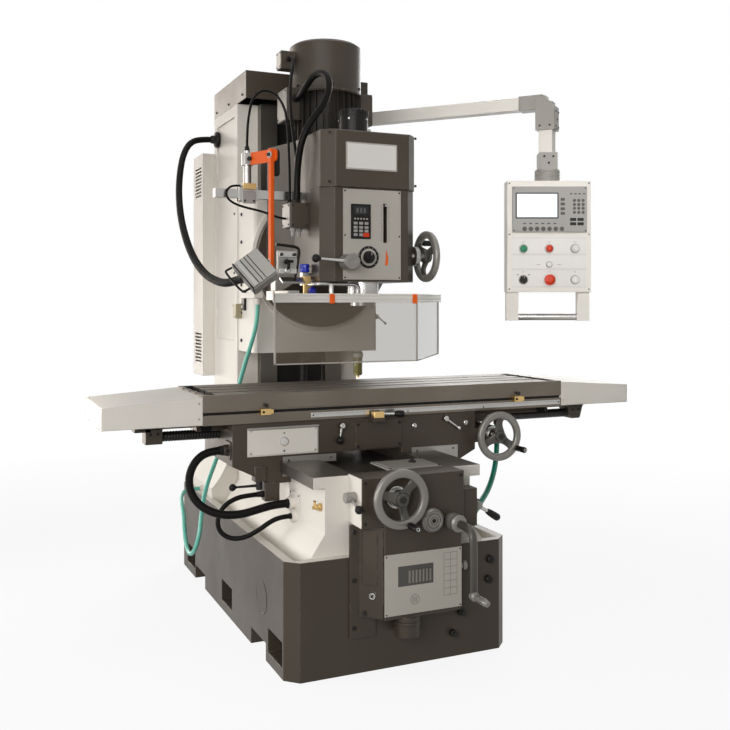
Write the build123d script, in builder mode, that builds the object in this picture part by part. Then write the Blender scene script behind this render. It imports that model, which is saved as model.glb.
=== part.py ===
# Bed-type vertical milling machine: floor casting, bed and column, a swivelling head
# on a rising slide, a cross saddle with a long table, a feed box and a hung pendant.
# Millimetres. +X is the operator's right, +Y is away from the operator, +Z is up.
# The origin is the middle of the base's footprint, on the floor.
import os
from math import atan2, cos, degrees, hypot, pi, radians, sin, tan

from build123d import *

os.makedirs("parts", exist_ok=True)

# Clearances
slide_gap = 0.3
run_gap = 0.05
gib_gap = 3.0

# Base casting and bed
base_width = 776.0
base_depth = 1375.0
base_height = 360.0
base_corner = 40.0
base_rim = 32.0
trough_depth = 40.0
fork_width = 160.0
fork_height = 55.0
fork_gap = 15.0
window_width = 140.0
window_height = 78.0
window_lip = 34.0
window_spacing = 560.0
bed_width = 512.0
bed_rise = 246.0
bed_flare = 74.0
bed_flare_rise = 110.0
way_overhang = 38.0
way_lip = 36.0
bed_channel_width = 316.0
bed_channel_depth = 30.0

# Column
column_width = 520.0
column_depth = 362.0
column_height = 1580.0
column_setback = 25.0
column_flare = 105.0
column_flare_rise = 400.0
column_foot_rise = 40.0
panel_depth = 6.0
panel_margin = 45.0
panel_gap = 60.0
upper_panel_height = 230.0
lower_panel_height = 620.0
upright_width = 70.0
upright_rise = 40.0
upright_centre = 140.0
upright_start = 400.0
cap_height = 108.0
cap_overhang = 122.0
cap_wall = 3.0
z_screw_radius = 18.0
z_screw_reach = 60.0
screw_bearing_width = 110.0
screw_bearing_height = 60.0
top_bearing_height = 8.0

# Head slide on the column
slide_width = 512.0
slide_depth = 222.0
slide_height = 593.0
slide_bottom = 947.0
pivot_rise = 357.0
ring_radius = 272.0
ring_thick = 14.0
hose_lug_length = 150.0
hose_lug_width = 34.0
hose_lug_thick = 20.0
hose_lug_rise = 210.0
hose_barb_drop = 24.0
bottle_radius = 18.0
bottle_height = 75.0
bottle_cap_height = 27.0
bottle_place = 190.0

# Head
disc_radius = 258.0
disc_thick = 34.0
head_width = 352.0
head_bevel = 40.0
head_drop = 92.0
head_rise = 418.0
head_reach = 470.0
neck_length = 180.0
neck_spread = 45.0
neck_drop = 62.0
cover_height = 192.0
cover_depth = 150.0
cover_stand = 9.0
panel_width = 214.0
panel_height = 305.0
plate_thick = 4.0
spindle_inset = 80.0
quill_radius = 55.0
quill_length = 315.0
quill_out = 52.0
quill_travel = 120.0
spindle_radius = 34.0
journal_length = 130.0
drive_radius = 20.0
nose_radius = 44.45
nose_length = 30.0
taper_mouth_radius = 22.2
taper_end_radius = 12.7
taper_depth = 93.0
pointer_offset = 48.0
pointer_width = 8.0
pointer_thick = 6.0
slot_width = 15.0
motor_radius = 112.0
fin_rise = 13.0
fin_thick = 5.0
fin_count = 28
motor_flange_radius = 138.0
motor_flange_thick = 18.0
motor_height = 185.0
cowl_radius = 136.0
cowl_height = 193.0
cowl_wall = 3.0
motor_setback = 35.0
terminal_rise = 80.0
switch_box_width = 52.0
switch_box_height = 66.0
switch_box_thick = 44.0
terminal_width = 110.0
terminal_height = 120.0
terminal_thick = 55.0
pipe_radius = 6.5
drawbar_radius = 52.0
drawbar_height = 100.0
drawbar_setback = 170.0
junction_width = 80.0
junction_height = 86.0
junction_thick = 68.0
junction_setback = 140.0
junction_rise = 96.0

# Swing guard in front of the spindle
bar_size = 30.0
bar_length = 309.0
bar_setback = 240.0
bar_rise = 213.0
post_radius = 10.0
post_shoulder = 14.0
post_offset = 192.0
post_height = 84.0
collar_height = 44.0
collar_radius = 20.0
post_tip = 8.0
guard_arm_x = 54.0
guard_arm_y = -130.0
guard_bar_thick = 8.0
guard_link_width = 26.0
guard_rail_height = 38.0
guard_rail_thick = 15.0
guard_rail_drop = 124.0
guard_stand = 100.0
guard_left = 382.0
guard_right = 120.0
guard_wing_x = 252.0
guard_wing_y = 318.0
rail_overrun = 26.0
guard_pane_height = 196.0
guard_pane_thick = 5.0

# Hand wheels, levers and dials
shaft_radius = 12.0
shaft_depth = 36.0
wheel_radius = 91.0
rim_radius = 11.0
hub_radius = 22.0
hub_length = 30.0
spoke_width = 24.0
spoke_thick = 9.0
dial_radius = 34.0
dial_length = 24.0
grip_radius = 11.0
grip_length = 62.0
lever_pin_radius = 7.0
lever_pin_depth = 22.0

# Feed box on the front of the base
box_width = 356.0
box_height = 150.0
box_clear = 5.0
box_reach = 68.0
lower_box_left = 102.0
lower_box_right = 169.0
lower_box_height = 287.0
side_block_width = 55.0
side_block_height = 120.0
side_block_drop = 62.0
side_block_inset = 15.0
box_fillet = 6.0
y_wheel_x = -66.0
y_wheel_drop = 61.0
y_wheel_stand = 44.0
feed_dial_x = 52.0
feed_dial_drop = 140.0
feed_dial_radius = 37.0
feed_dial_length = 34.0
crank_x = 131.0
crank_drop = 153.0
crank_stand = 132.0
crank_tube_radius = 13.0
crank_collar_radius = 27.0
crank_collar_length = 52.0
crank_arm = 198.0
crank_arm_width = 26.0
crank_arm_thick = 14.0
crank_grip_length = 72.0
bed_lever_drop = 62.0
bed_lever_inset = 45.0
side_lever_x = 248.0
side_lever_drop = 123.0
side_lug_thick = 16.0
side_lug_height = 30.0
feed_pot_radius = 40.0
feed_pot_height = 62.0
feed_pot_x = -10.0

# Saddle
saddle_width = 922.0
saddle_length = 370.0
saddle_rise = 135.0
saddle_front = -345.0
saddle_end_drop = 141.0
skirt_drop = 71.0
skirt_foot = 330.0
saddle_clear = 19.0
tongue_width = 210.0
tongue_depth = 28.0
tongue_slope = 14.0
x_screw_radius = 18.0
x_screw_drop = 53.0
x_screw_clear = 1.0
gland_radius = 22.0
gland_length = 20.0
x_wheel_x = 531.0
x_wheel_drop = 91.0
x_wheel_stand = 55.0
drive_arm_height = 52.0
drive_arm_depth = 130.0
drive_boss_radius = 34.0
cover_plate_thick = 3.0
left_plate_width = 251.0
left_plate_x = -285.0
mid_plate_width = 182.0
mid_plate_x = 69.0
drain_reach = 80.0
drain_arm = 24.0
drain_barb = 16.0
cable_block_x = 350.0
cable_block_drop = 263.0
cable_exit_drop = 241.0
conduit_setback = 45.0
conduit_drop = 91.0
clamp_clear = 35.0
clamp_setback = 15.0
clamp_drop = 196.0
cover_plate_height = 96.0
cover_plate_drop = 64.0
x_lock_x = -79.0
x_lock_drop = 23.0
saddle_lock_x = 330.0
saddle_lock_drop = 20.0
feed_lug_x = 50.0
feed_lug_width = 44.0
feed_lug_depth = 48.0
feed_lug_height = 14.0
feed_block_height = 22.0
feed_rod_length = 88.0

# Table
table_length = 1400.0
table_width = 380.0
table_thick = 98.0
table_shift = 138.0
table_front = -355.0
slot_neck = 18.0
slot_neck_depth = 18.0
slot_foot = 30.0
slot_foot_depth = 13.0
slot_pitch = 90.0
slot_count = 3
dog_groove_width = 16.0
dog_groove_depth = 12.0
dog_groove_drop = 60.0
dog_width = 34.0
dog_height = 20.0
dog_stand = 17.0
left_dog = 208.0
right_dog = 204.0
end_trough_width = 36.0
end_trough_depth = 14.0
end_trough_rim = 16.0
end_cover_length = 318.0
end_cover_drop = 4.0
end_cover_fall = 22.0
end_cover_skirt = 92.0
end_cover_wall = 3.0
left_bracket_reach = 176.0
right_bracket_reach = 226.0
screw_tail = 48.0
bracket_bar_height = 24.0
bracket_bar_width = 64.0
bracket_block = 78.0
bracket_block_drop = 74.0

# Electric cabinet behind the column
cabinet_width = 622.0
cabinet_depth = 168.0
cabinet_height = 970.0
cabinet_bottom = 820.0
cabinet_wall = 3.0
door_thick = 3.0
hinge_radius = 5.0
louvre_count = 9
louvre_length = 110.0
louvre_height = 7.0
louvre_pitch = 15.0
louvre_margin = 60.0

# Lamp
rosette_radius = 34.0
rosette_thick = 16.0
lamp_size = 100.0
lamp_depth = 66.0
lamp_neck_radius = 16.0
lamp_neck_length = 26.0
lamp_arm_diameter = 26.0

# Pendant
arm_size = 50.0
arm_pivot_x = 330.0
arm_pivot_y = 400.0
arm_drop = 2.0
elbow_x = 863.0
elbow_y = -228.0
elbow_size = 76.0
elbow_height = 140.0
elbow_chamfer = 46.0
elbow_sleeve = 70.0
sleeve_radius = 30.0
sleeve_height = 84.0
arm_pin_radius = 12.0
ear_thick = 14.0
drop_radius = 24.0
drop_size = 54.0
drop_length = 237.0
coupling_radius = 49.0
coupling_height = 114.0
collar_rise = 46.0
coupling_size = 70.0
coupling_depth = 34.0
case_width = 330.0
case_depth = 80.0
case_height = 439.0
pendant_turn = 23.9
readout_width = 293.0
readout_height = 179.0
readout_stand = 14.0
readout_drop = 24.0
handle_drop = 114.0
handle_radius = 14.0
handle_strap = 48.0
button_column = 102.0
upper_row_drop = 268.0
lower_row_drop = 391.0
button_stem = 8.0
button_bore_depth = 26.0
button_cap_radius = 14.0
button_cap_height = 9.0
button_travel = 4.0
estop_radius = 21.0
knob_radius = 15.0
knob_height = 24.0

# Cords
conduit_diameter = 28.0
saddle_cable_diameter = 16.0
hose_diameter = 16.0
drain_diameter = 20.0
motor_cable_diameter = 24.0
switch_cable_diameter = 9.0

# Heights and faces that several pieces share
base_front = -base_depth / 2
fork_spacing = 2 * (window_spacing - (window_width + fork_width) / 2 - fork_gap)
trough_floor = base_height - trough_depth
bed_front = base_front + base_rim
column_back = base_depth / 2 - column_setback
column_front = column_back - column_depth
bed_back = column_front
column_top = base_height + column_height
arm_height = column_top - arm_drop
way_top = base_height + bed_rise
bed_half = bed_width / 2
way_half = bed_half + way_overhang
saddle_top = way_top + saddle_rise
saddle_back = saddle_front + saddle_length
table_bottom = saddle_top + slide_gap
table_top = table_bottom + table_thick
table_middle = table_front + table_width / 2
table_left = table_shift - table_length / 2
table_right = table_shift + table_length / 2
slide_front = column_front - slide_depth
slide_back = column_front - slide_gap
slide_top = slide_bottom + slide_height
pivot_z = slide_bottom + pivot_rise
ring_front = slide_front - ring_thick
disc_back = ring_front - slide_gap
disc_front = disc_back - disc_thick
head_front = disc_front - head_reach
head_bottom = pivot_z - head_drop
head_top = pivot_z + head_rise
head_half = head_width / 2
neck_front = disc_front - neck_length
spindle_y = head_front + spindle_inset
cover_front = head_front - cover_stand
cover_back = cover_front + cover_depth
cover_bottom = head_top - cover_height
panel_front = head_front - plate_thick
motor_y = disc_front - motor_setback
feed_front = base_front - box_reach
box_top = way_top + box_clear
box_bottom = box_top - box_height
z_screw_y = column_front - z_screw_reach
x_screw_z = saddle_top - x_screw_drop

from_below = (Align.CENTER, Align.CENTER, Align.MIN)
from_above = (Align.CENTER, Align.CENTER, Align.MAX)
forward = (0, -1, 0)


def keep(builder, name):
    builder.part.label = name
    export_step(builder.part, f"parts/{name}.step")


def facing_front(x, y, z):
    return Plane(origin=(x, y, z), x_dir=(1, 0, 0), z_dir=forward)


def facing_right(x, y, z):
    return Plane(origin=(x, y, z), x_dir=(0, 1, 0), z_dir=(1, 0, 0))


def facing_left(x, y, z):
    return Plane(origin=(x, y, z), x_dir=(0, -1, 0), z_dir=(-1, 0, 0))


def upright(x, y, z):
    return Plane(origin=(x, y, z), x_dir=(1, 0, 0), z_dir=(0, 0, 1))


def in_plane(frame, angle, height):
    # A plane that stands on the frame's own plane and looks along an angle in it.
    turn = radians(angle)
    along = frame.x_dir * cos(turn) + frame.y_dir * sin(turn)
    return Plane(origin=frame.from_local_coords((0, 0, height)), z_dir=along)


def drill(frame, radius, depth):
    with Locations(frame):
        Cylinder(radius, depth, align=from_above, mode=Mode.SUBTRACT)


def slab(low, high, mode=Mode.ADD):
    size = [top - bottom for bottom, top in zip(low, high)]
    with Locations(low):
        Box(*size, align=(Align.MIN, Align.MIN, Align.MIN), mode=mode)


# Places of the shafts, each with its outward direction
y_wheel_frame = facing_front(y_wheel_x, feed_front, box_top - y_wheel_drop)
feed_dial_frame = facing_front(feed_dial_x, feed_front, box_top - feed_dial_drop)
crank_frame = facing_front(crank_x, feed_front, box_top - crank_drop)
bed_lever_frame = facing_left(-box_width / 2, feed_front + bed_lever_inset, box_top - bed_lever_drop)
side_lever_y = base_front - side_lug_thick
side_lever_frame = facing_front(side_lever_x, side_lever_y, box_top - side_lever_drop)
x_wheel_frame = facing_front(x_wheel_x, saddle_front, saddle_top - x_wheel_drop)
x_lock_frame = facing_front(x_lock_x, saddle_front, saddle_top - x_lock_drop)
saddle_lock_frame = facing_front(saddle_lock_x, saddle_front, saddle_top - saddle_lock_drop)
clamp_x = -skirt_foot - clamp_clear
clamp_y = saddle_front + clamp_setback
clamp_z = saddle_top - clamp_drop
clamp_frame = Plane(origin=(clamp_x, clamp_y, clamp_z), x_dir=(1, 0, 0), z_dir=(0, 0, -1))
feed_lug_y = saddle_front - feed_lug_depth / 2
feed_lever_frame = upright(feed_lug_x, feed_lug_y, saddle_top)
quill_lever_frame = facing_front(-98.0, panel_front, pivot_z - 27.0)
head_wheel_frame = facing_right(head_half, head_front + 46.0, pivot_z)
speed_knob_frame = facing_front(-14.0, panel_front, pivot_z - 9.0)
valve_frame = facing_left(-head_half, head_front + 125.0, pivot_z - 72.0)

# Base casting: a stiff floor box with fork pockets and a rimmed chip trough
with BuildPart() as base:
    with BuildSketch() as base_plan:
        Rectangle(base_width, base_depth)
        chamfer(base_plan.vertices().group_by(Axis.Y)[0], base_corner)
    extrude(amount=base_height)
    trough_half = base_width / 2 - base_rim
    slab(
        (-trough_half, bed_front, trough_floor),
        (trough_half, bed_back, base_height),
        Mode.SUBTRACT,
    )
    with BuildSketch(Plane.YZ) as pockets:
        with GridLocations(fork_spacing, 1, 2, 1):
            with Locations((0, fork_height / 2)):
                Rectangle(fork_width, fork_height)
        with GridLocations(window_spacing, 1, 3, 1):
            with Locations((-window_lip / 4, window_lip + window_height / 2)):
                Rectangle(window_width, window_height)
    extrude(amount=base_width / 2, both=True, mode=Mode.SUBTRACT)
keep(base, "base")

# Bed: flared pedestal with two overhung box ways and a channel between them
with BuildPart() as bed:
    with BuildSketch(Plane.XZ.offset(-bed_back)) as bed_section:
        with BuildLine():
            Polyline(
                (0, trough_floor),
                (bed_half + bed_flare, trough_floor),
                (bed_half, trough_floor + bed_flare_rise),
                (bed_half, way_top - way_lip),
                (way_half, way_top - way_lip),
                (way_half, way_top),
                (bed_channel_width / 2, way_top),
                (bed_channel_width / 2, way_top - bed_channel_depth),
                (0, way_top - bed_channel_depth),
            )
            mirror(about=Plane.YZ)
        make_face()
    extrude(amount=bed_back - bed_front)
    for gland_y, gland_z in ((-370.0, 470.0), (-400.0, 434.0)):
        with Locations(facing_left(-bed_half, gland_y, gland_z)):
            Cylinder(gland_radius, gland_length, align=from_below)
keep(bed, "bed")

# Column: flared foot, panelled sides and two upright ways on its front
with BuildPart() as column:
    with BuildSketch(Plane.XZ.offset(-column_back)) as column_section:
        column_half = column_width / 2
        foot_half = column_half + column_flare
        flare_top = base_height + column_flare_rise
        with BuildLine():
            Polyline((0, column_top), (column_half, column_top), (column_half, flare_top))
            Spline(
                (column_half, flare_top),
                (foot_half, base_height + column_foot_rise),
                tangents=((0, -1), (1, -1)),
            )
            Polyline((foot_half, base_height + column_foot_rise), (foot_half, base_height), (0, base_height))
            mirror(about=Plane.YZ)
        make_face()
    extrude(amount=column_depth)
    for side in (-1, 1):
        with Locations((side * upright_centre, column_front, base_height + upright_start)):
            Box(
                upright_width,
                upright_rise,
                column_height - upright_start,
                align=(Align.CENTER, Align.MAX, Align.MIN),
            )
        upper_panel = column_top - panel_margin - upper_panel_height
        lower_panel = upper_panel - panel_gap - lower_panel_height
        for start, height in ((upper_panel, upper_panel_height), (lower_panel, lower_panel_height)):
            with Locations((side * column_half, (column_front + column_back) / 2, start)):
                Box(
                    2 * panel_depth,
                    column_depth - 2 * panel_margin,
                    height,
                    align=from_below,
                    mode=Mode.SUBTRACT,
                )
    bearing_bottom = base_height + upright_start - screw_bearing_height
    bearing_reach = z_screw_reach + screw_bearing_width / 2
    for start, height in ((bearing_bottom, screw_bearing_height), (column_top - top_bearing_height, top_bearing_height)):
        with Locations((0, column_front, start)):
            Box(screw_bearing_width, bearing_reach, height, align=(Align.CENTER, Align.MAX, Align.MIN))
    with Locations((0, z_screw_y, column_top)):
        Cylinder(z_screw_radius + run_gap, column_top - bearing_bottom, align=from_above, mode=Mode.SUBTRACT)
    # Spigot for the coolant hose on the left of the foot
    with Locations(facing_left(-foot_half, column_front + 120.0, base_height + column_foot_rise / 2)):
        Cylinder(hose_diameter / 2 + 3, gland_length, align=from_below)
keep(column, "column")

with BuildPart() as z_screw:
    with Locations((0, z_screw_y, column_top)):
        Cylinder(z_screw_radius, column_top - bearing_bottom, align=from_above)
keep(z_screw, "z_screw")

with BuildPart() as column_cap:
    cap_front = column_front - cap_overhang
    slab((-column_half, cap_front, column_top), (column_half, column_back, column_top + cap_height))
    slab(
        (-column_half + cap_wall, cap_front + cap_wall, column_top),
        (column_half - cap_wall, column_back - cap_wall, column_top + cap_height - cap_wall),
        Mode.SUBTRACT,
    )
keep(column_cap, "column_cap")

# Electric cabinet on the column's back, vented at the sides, with a door behind
cabinet_back = column_back + cabinet_depth
cabinet_half = cabinet_width / 2
cabinet_top = cabinet_bottom + cabinet_height
with BuildPart() as electric_cabinet:
    slab((-cabinet_half, column_back, cabinet_bottom), (cabinet_half, cabinet_back, cabinet_top))
    slab(
        (-cabinet_half + cabinet_wall, column_back + cabinet_wall, cabinet_bottom + cabinet_wall),
        (cabinet_half - cabinet_wall, cabinet_back, cabinet_top - cabinet_wall),
        Mode.SUBTRACT,
    )
    louvre_span = (louvre_count - 1) * louvre_pitch
    for middle in (cabinet_top - louvre_margin - louvre_span / 2, cabinet_bottom + louvre_margin + louvre_span / 2):
        with Locations((0, column_back + cabinet_depth / 2, middle)):
            with GridLocations(cabinet_width, 1, 2, 1):
                for step in range(louvre_count):
                    with Locations((0, 0, step * louvre_pitch - louvre_span / 2)):
                        Box(4 * cabinet_wall, louvre_length, louvre_height, mode=Mode.SUBTRACT)
    with Locations((cabinet_half + hinge_radius, cabinet_back + door_thick, cabinet_bottom)):
        Cylinder(hinge_radius / 2, cabinet_height, align=from_below)
    slab(
        (cabinet_half - cabinet_wall, cabinet_back - 40.0, cabinet_top - 24.0),
        (cabinet_half + 2 * hinge_radius, cabinet_back + door_thick + hinge_radius, cabinet_top),
    )
    slab(
        (cabinet_half - cabinet_wall, cabinet_back - 40.0, cabinet_bottom),
        (cabinet_half + 2 * hinge_radius, cabinet_back + door_thick + hinge_radius, cabinet_bottom + 24.0),
    )
keep(electric_cabinet, "electric_cabinet")

door_hinge_x = cabinet_half + hinge_radius
door_hinge_y = cabinet_back + door_thick
with BuildPart() as cabinet_door:
    slab(
        (-cabinet_half, cabinet_back + slide_gap, cabinet_bottom + 26.0),
        (door_hinge_x, cabinet_back + slide_gap + door_thick, cabinet_top - 26.0),
    )
    with Locations((door_hinge_x, door_hinge_y, cabinet_bottom + 26.0)):
        Cylinder(hinge_radius, cabinet_height - 52.0, align=from_below)
        Cylinder(hinge_radius / 2 + run_gap, cabinet_height - 52.0, align=from_below, mode=Mode.SUBTRACT)
keep(cabinet_door, "cabinet_door")

# Feed box: upper block on the bed, lower gear case on the base, lever block at its right
with BuildPart() as feed_box:
    slab((-box_width / 2, feed_front, box_bottom), (box_width / 2, bed_front, box_top))
    slab((-lower_box_left, feed_front, box_bottom - lower_box_height), (lower_box_right, base_front, box_bottom))
    block_top = box_top - side_block_drop
    slab(
        (box_width / 2, feed_front + side_block_inset, block_top - side_block_height),
        (box_width / 2 + side_block_width, base_front, block_top),
    )
    lug_middle = box_top - side_lever_drop
    slab(
        (box_width / 2, side_lever_y, lug_middle - side_lug_height / 2),
        (side_lever_x + side_lug_height / 2, base_front, lug_middle + side_lug_height / 2),
    )
    fillet(feed_box.edges().filter_by(Axis.Z).group_by(Axis.Y)[0], box_fillet)
    # Round drive pot below the gear case
    pot_bottom = box_bottom - lower_box_height - feed_pot_height
    with Locations((feed_pot_x, base_front - box_reach / 2 - 6.0, pot_bottom)):
        Cylinder(feed_pot_radius, feed_pot_height, align=from_below)
    drill(y_wheel_frame, shaft_radius + run_gap, shaft_depth)
    drill(feed_dial_frame, shaft_radius + run_gap, shaft_depth)
    drill(crank_frame, shaft_radius + run_gap, shaft_depth)
    drill(bed_lever_frame, lever_pin_radius + run_gap, lever_pin_depth)
    drill(side_lever_frame, lever_pin_radius + run_gap, side_lug_thick)
keep(feed_box, "feed_box")


def handwheel(frame, stand, grip_angle):
    # Three-spoked wheel on a shaft, with a graduated collar behind it and one grip.
    with BuildPart() as wheel:
        with Locations(frame):
            with Locations((0, 0, 1.0 - shaft_depth)):
                Cylinder(shaft_radius, shaft_depth + stand, align=from_below)
            with Locations((0, 0, slide_gap)):
                Cylinder(dial_radius, dial_length, align=from_below)
            with Locations((0, 0, stand - hub_length / 2)):
                Cylinder(hub_radius, hub_length, align=from_below)
            with Locations((0, 0, stand)):
                Torus(wheel_radius - rim_radius, rim_radius)
                spoke_length = wheel_radius - 1.5 * rim_radius - hub_radius + 6.0
                with PolarLocations(hub_radius - 4.0 + spoke_length / 2, 3, start_angle=grip_angle):
                    Box(spoke_length, spoke_width, spoke_thick)
                with PolarLocations(wheel_radius - rim_radius, 1, start_angle=grip_angle):
                    Cylinder(grip_radius, grip_length + rim_radius, align=from_below)
    return wheel


y_handwheel = handwheel(y_wheel_frame, y_wheel_stand, -75.0)
keep(y_handwheel, "y_handwheel")

with BuildPart() as feed_dial:
    with Locations(feed_dial_frame):
        with Locations((0, 0, 1.0 - shaft_depth)):
            Cylinder(shaft_radius, shaft_depth + feed_dial_length / 2, align=from_below)
        with Locations((0, 0, slide_gap)):
            Cylinder(feed_dial_radius, feed_dial_length, align=from_below)
    chamfer(feed_dial.edges().filter_by(GeomType.CIRCLE).group_by(Axis.Y)[0], 5.0)
    with Locations(feed_dial_frame.offset(feed_dial_length)):
        Cylinder(6.0, 12.0, mode=Mode.SUBTRACT)
keep(feed_dial, "feed_dial")

# Lifting crank: collared shaft, straight arm and a turned grip
with BuildPart() as z_crank:
    with Locations(crank_frame):
        with Locations((0, 0, 1.0 - shaft_depth)):
            Cylinder(shaft_radius, shaft_depth, align=from_below)
        with Locations((0, 0, slide_gap)):
            Cylinder(crank_collar_radius, crank_collar_length, align=from_below)
            Cylinder(crank_tube_radius, crank_stand, align=from_below)
        with Locations((0, 0, crank_stand)):
            with BuildSketch(crank_frame.offset(crank_stand)):
                with Locations((0, -crank_arm / 2)):
                    SlotOverall(crank_arm + crank_arm_width, crank_arm_width, rotation=90)
            extrude(amount=crank_arm_thick)
        with Locations((0, -crank_arm, crank_stand)):
            Cylinder(grip_radius, crank_grip_length + crank_arm_thick, align=from_below)
keep(z_crank, "z_crank")


def ball_lever(frame, boss_radius, boss_length, angle, reach, rod_radius, ball_radius):
    # Pin in its bore, round boss, and a rod in the boss's plane that ends in a ball.
    with BuildPart() as lever:
        with Locations(frame):
            with Locations((0, 0, 1.0 - lever_pin_depth)):
                Cylinder(lever_pin_radius, lever_pin_depth, align=from_below)
            with Locations((0, 0, slide_gap)):
                Cylinder(boss_radius, boss_length, align=from_below)
        rod = in_plane(frame, angle, slide_gap + boss_length / 2)
        with Locations(rod):
            Cylinder(rod_radius, reach, align=from_below)
            with Locations((0, 0, reach)):
                Sphere(ball_radius)
    return lever


bed_lever = ball_lever(bed_lever_frame, 16.0, 36.0, -18.0, 74.0, 6.0, 13.0)
keep(bed_lever, "bed_lever")

with BuildPart() as side_lever:
    with Locations(side_lever_frame):
        with Locations((0, 0, 1.0 - side_lug_thick)):
            Cylinder(lever_pin_radius, side_lug_thick, align=from_below)
        with Locations((0, 0, slide_gap)):
            Cylinder(14.0, 26.0, align=from_below)
    with Locations(in_plane(side_lever_frame, -32.0, 13.0)):
        Cylinder(6.0, 92.0, align=from_below)
        with Locations((0, 0, 42.0)):
            Cylinder(12.0, 54.0, align=from_below)
keep(side_lever, "side_lever")

# Saddle: winged cross slide that wraps the bed's overhung ways
with BuildPart() as saddle:
    with BuildSketch(Plane.XZ.offset(-saddle_back)) as saddle_section:
        saddle_half = saddle_width / 2
        skirt_bottom = way_top - skirt_drop
        with BuildLine():
            Polyline(
                (0, way_top + saddle_clear),
                (bed_channel_width / 2, way_top + saddle_clear),
                (bed_channel_width / 2, way_top + slide_gap),
                (way_half + slide_gap, way_top + slide_gap),
                (way_half + slide_gap, way_top - way_lip - slide_gap),
                (bed_half + gib_gap, way_top - way_lip - slide_gap),
                (bed_half + gib_gap, skirt_bottom),
                (skirt_foot, skirt_bottom),
                (saddle_half, saddle_top - saddle_end_drop),
                (saddle_half, saddle_top),
                (0, saddle_top),
            )
            mirror(about=Plane.YZ)
        make_face()
    extrude(amount=saddle_length)
    with BuildSketch(Plane.YZ) as tongue_groove:
        groove_half = tongue_width / 2 + slide_gap
        groove_floor = saddle_top - tongue_depth - slide_gap
        with BuildLine():
            Polyline(
                (table_middle - groove_half + tongue_slope, saddle_top),
                (table_middle - groove_half, groove_floor),
                (table_middle + groove_half, groove_floor),
                (table_middle + groove_half - tongue_slope, saddle_top),
                close=True,
            )
        make_face()
    extrude(amount=saddle_half, both=True, mode=Mode.SUBTRACT)
    with Locations((0, table_middle, x_screw_z)):
        Cylinder(
            x_screw_radius + x_screw_clear,
            saddle_width,
            rotation=(0, 90, 0),
            mode=Mode.SUBTRACT,
        )
    # Drive arm that carries the long-feed wheel at the right end
    drive_back = saddle_front + drive_arm_depth
    drive_z = saddle_top - x_wheel_drop
    slab(
        (saddle_half, saddle_front, drive_z - drive_arm_height / 2),
        (x_wheel_x, drive_back, drive_z + drive_arm_height / 2),
    )
    with Locations(facing_front(x_wheel_x, drive_back, drive_z)):
        Cylinder(drive_boss_radius, drive_arm_depth, align=from_below)
    # Drain arm with its downward barb, above the drive arm
    drain_x = x_wheel_x + drain_reach
    drain_y = drive_back - 40.0
    slab(
        (saddle_half, drain_y - drain_arm / 2, saddle_top - 52.0),
        (drain_x + drain_arm / 2, drain_y + drain_arm / 2, saddle_top - 52.0 + drain_arm),
    )
    with Locations((drain_x, drain_y, saddle_top - 52.0)):
        Cylinder(drain_diameter / 2 + 3.0, drain_barb, align=from_above)
    # Lug for the feed lever at the front
    slab(
        (feed_lug_x - feed_lug_width / 2, saddle_front - feed_lug_depth, saddle_top - feed_lug_height),
        (feed_lug_x + feed_lug_width / 2, saddle_front, saddle_top),
    )
    # Conduit gland at the left end, cable block and clamp lug under the left wing
    with Locations(facing_left(-saddle_half, saddle_front + conduit_setback, saddle_top - conduit_drop)):
        Cylinder(gland_radius - 4.0, gland_length, align=from_below)
    slab(
        (-cable_block_x, saddle_front - 5.0, saddle_top - cable_block_drop),
        (-cable_block_x + 50.0, saddle_front + 35.0, skirt_bottom + 5.0),
    )
    slab(
        (clamp_x - 20.0, clamp_y - 20.0, clamp_z),
        (clamp_x + 20.0, clamp_y + 20.0, clamp_z + 50.0),
    )
    drill(clamp_frame, lever_pin_radius + run_gap, lever_pin_depth)
    drill(x_wheel_frame, shaft_radius + run_gap, shaft_depth)
    drill(x_lock_frame, lever_pin_radius + run_gap, lever_pin_depth)
    drill(saddle_lock_frame, lever_pin_radius + run_gap, lever_pin_depth)
    drill(feed_lever_frame, lever_pin_radius + run_gap, feed_lug_height)
keep(saddle, "saddle")

with BuildPart() as saddle_covers:
    plate_bottom = saddle_top - cover_plate_drop - cover_plate_height / 2
    for middle, width in ((left_plate_x, left_plate_width), (mid_plate_x, mid_plate_width)):
        slab(
            (middle - width / 2, saddle_front - cover_plate_thick, plate_bottom),
            (middle + width / 2, saddle_front, plate_bottom + cover_plate_height),
        )
keep(saddle_covers, "saddle_covers")

x_handwheel = handwheel(x_wheel_frame, x_wheel_stand, -35.0)
keep(x_handwheel, "x_handwheel")

x_lock_lever = ball_lever(x_lock_frame, 10.0, 30.0, -96.0, 52.0, 4.5, 13.0)
keep(x_lock_lever, "x_lock_lever")

saddle_lock_lever = ball_lever(saddle_lock_frame, 10.0, 24.0, -34.0, 68.0, 5.0, 8.0)
keep(saddle_lock_lever, "saddle_lock_lever")

saddle_clamp_lever = ball_lever(clamp_frame, 11.0, 30.0, 180.0, 92.0, 5.0, 12.0)
keep(saddle_clamp_lever, "saddle_clamp_lever")

with BuildPart() as feed_lever:
    with Locations(feed_lever_frame):
        with Locations((0, 0, 1.0 - feed_lug_height)):
            Cylinder(lever_pin_radius, feed_lug_height, align=from_below)
        with Locations((0, -9.0, slide_gap)):
            Box(feed_lug_width - 4.0, feed_lug_depth - 20.0, feed_block_height, align=from_below)
    with Locations(in_plane(feed_lever_frame, -20.0, slide_gap + feed_block_height / 2)):
        Cylinder(6.0, feed_rod_length, align=from_below)
        with Locations((0, 0, feed_rod_length - 24.0)):
            Cylinder(12.0, 34.0, align=from_below)
keep(feed_lever, "feed_lever")

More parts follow.
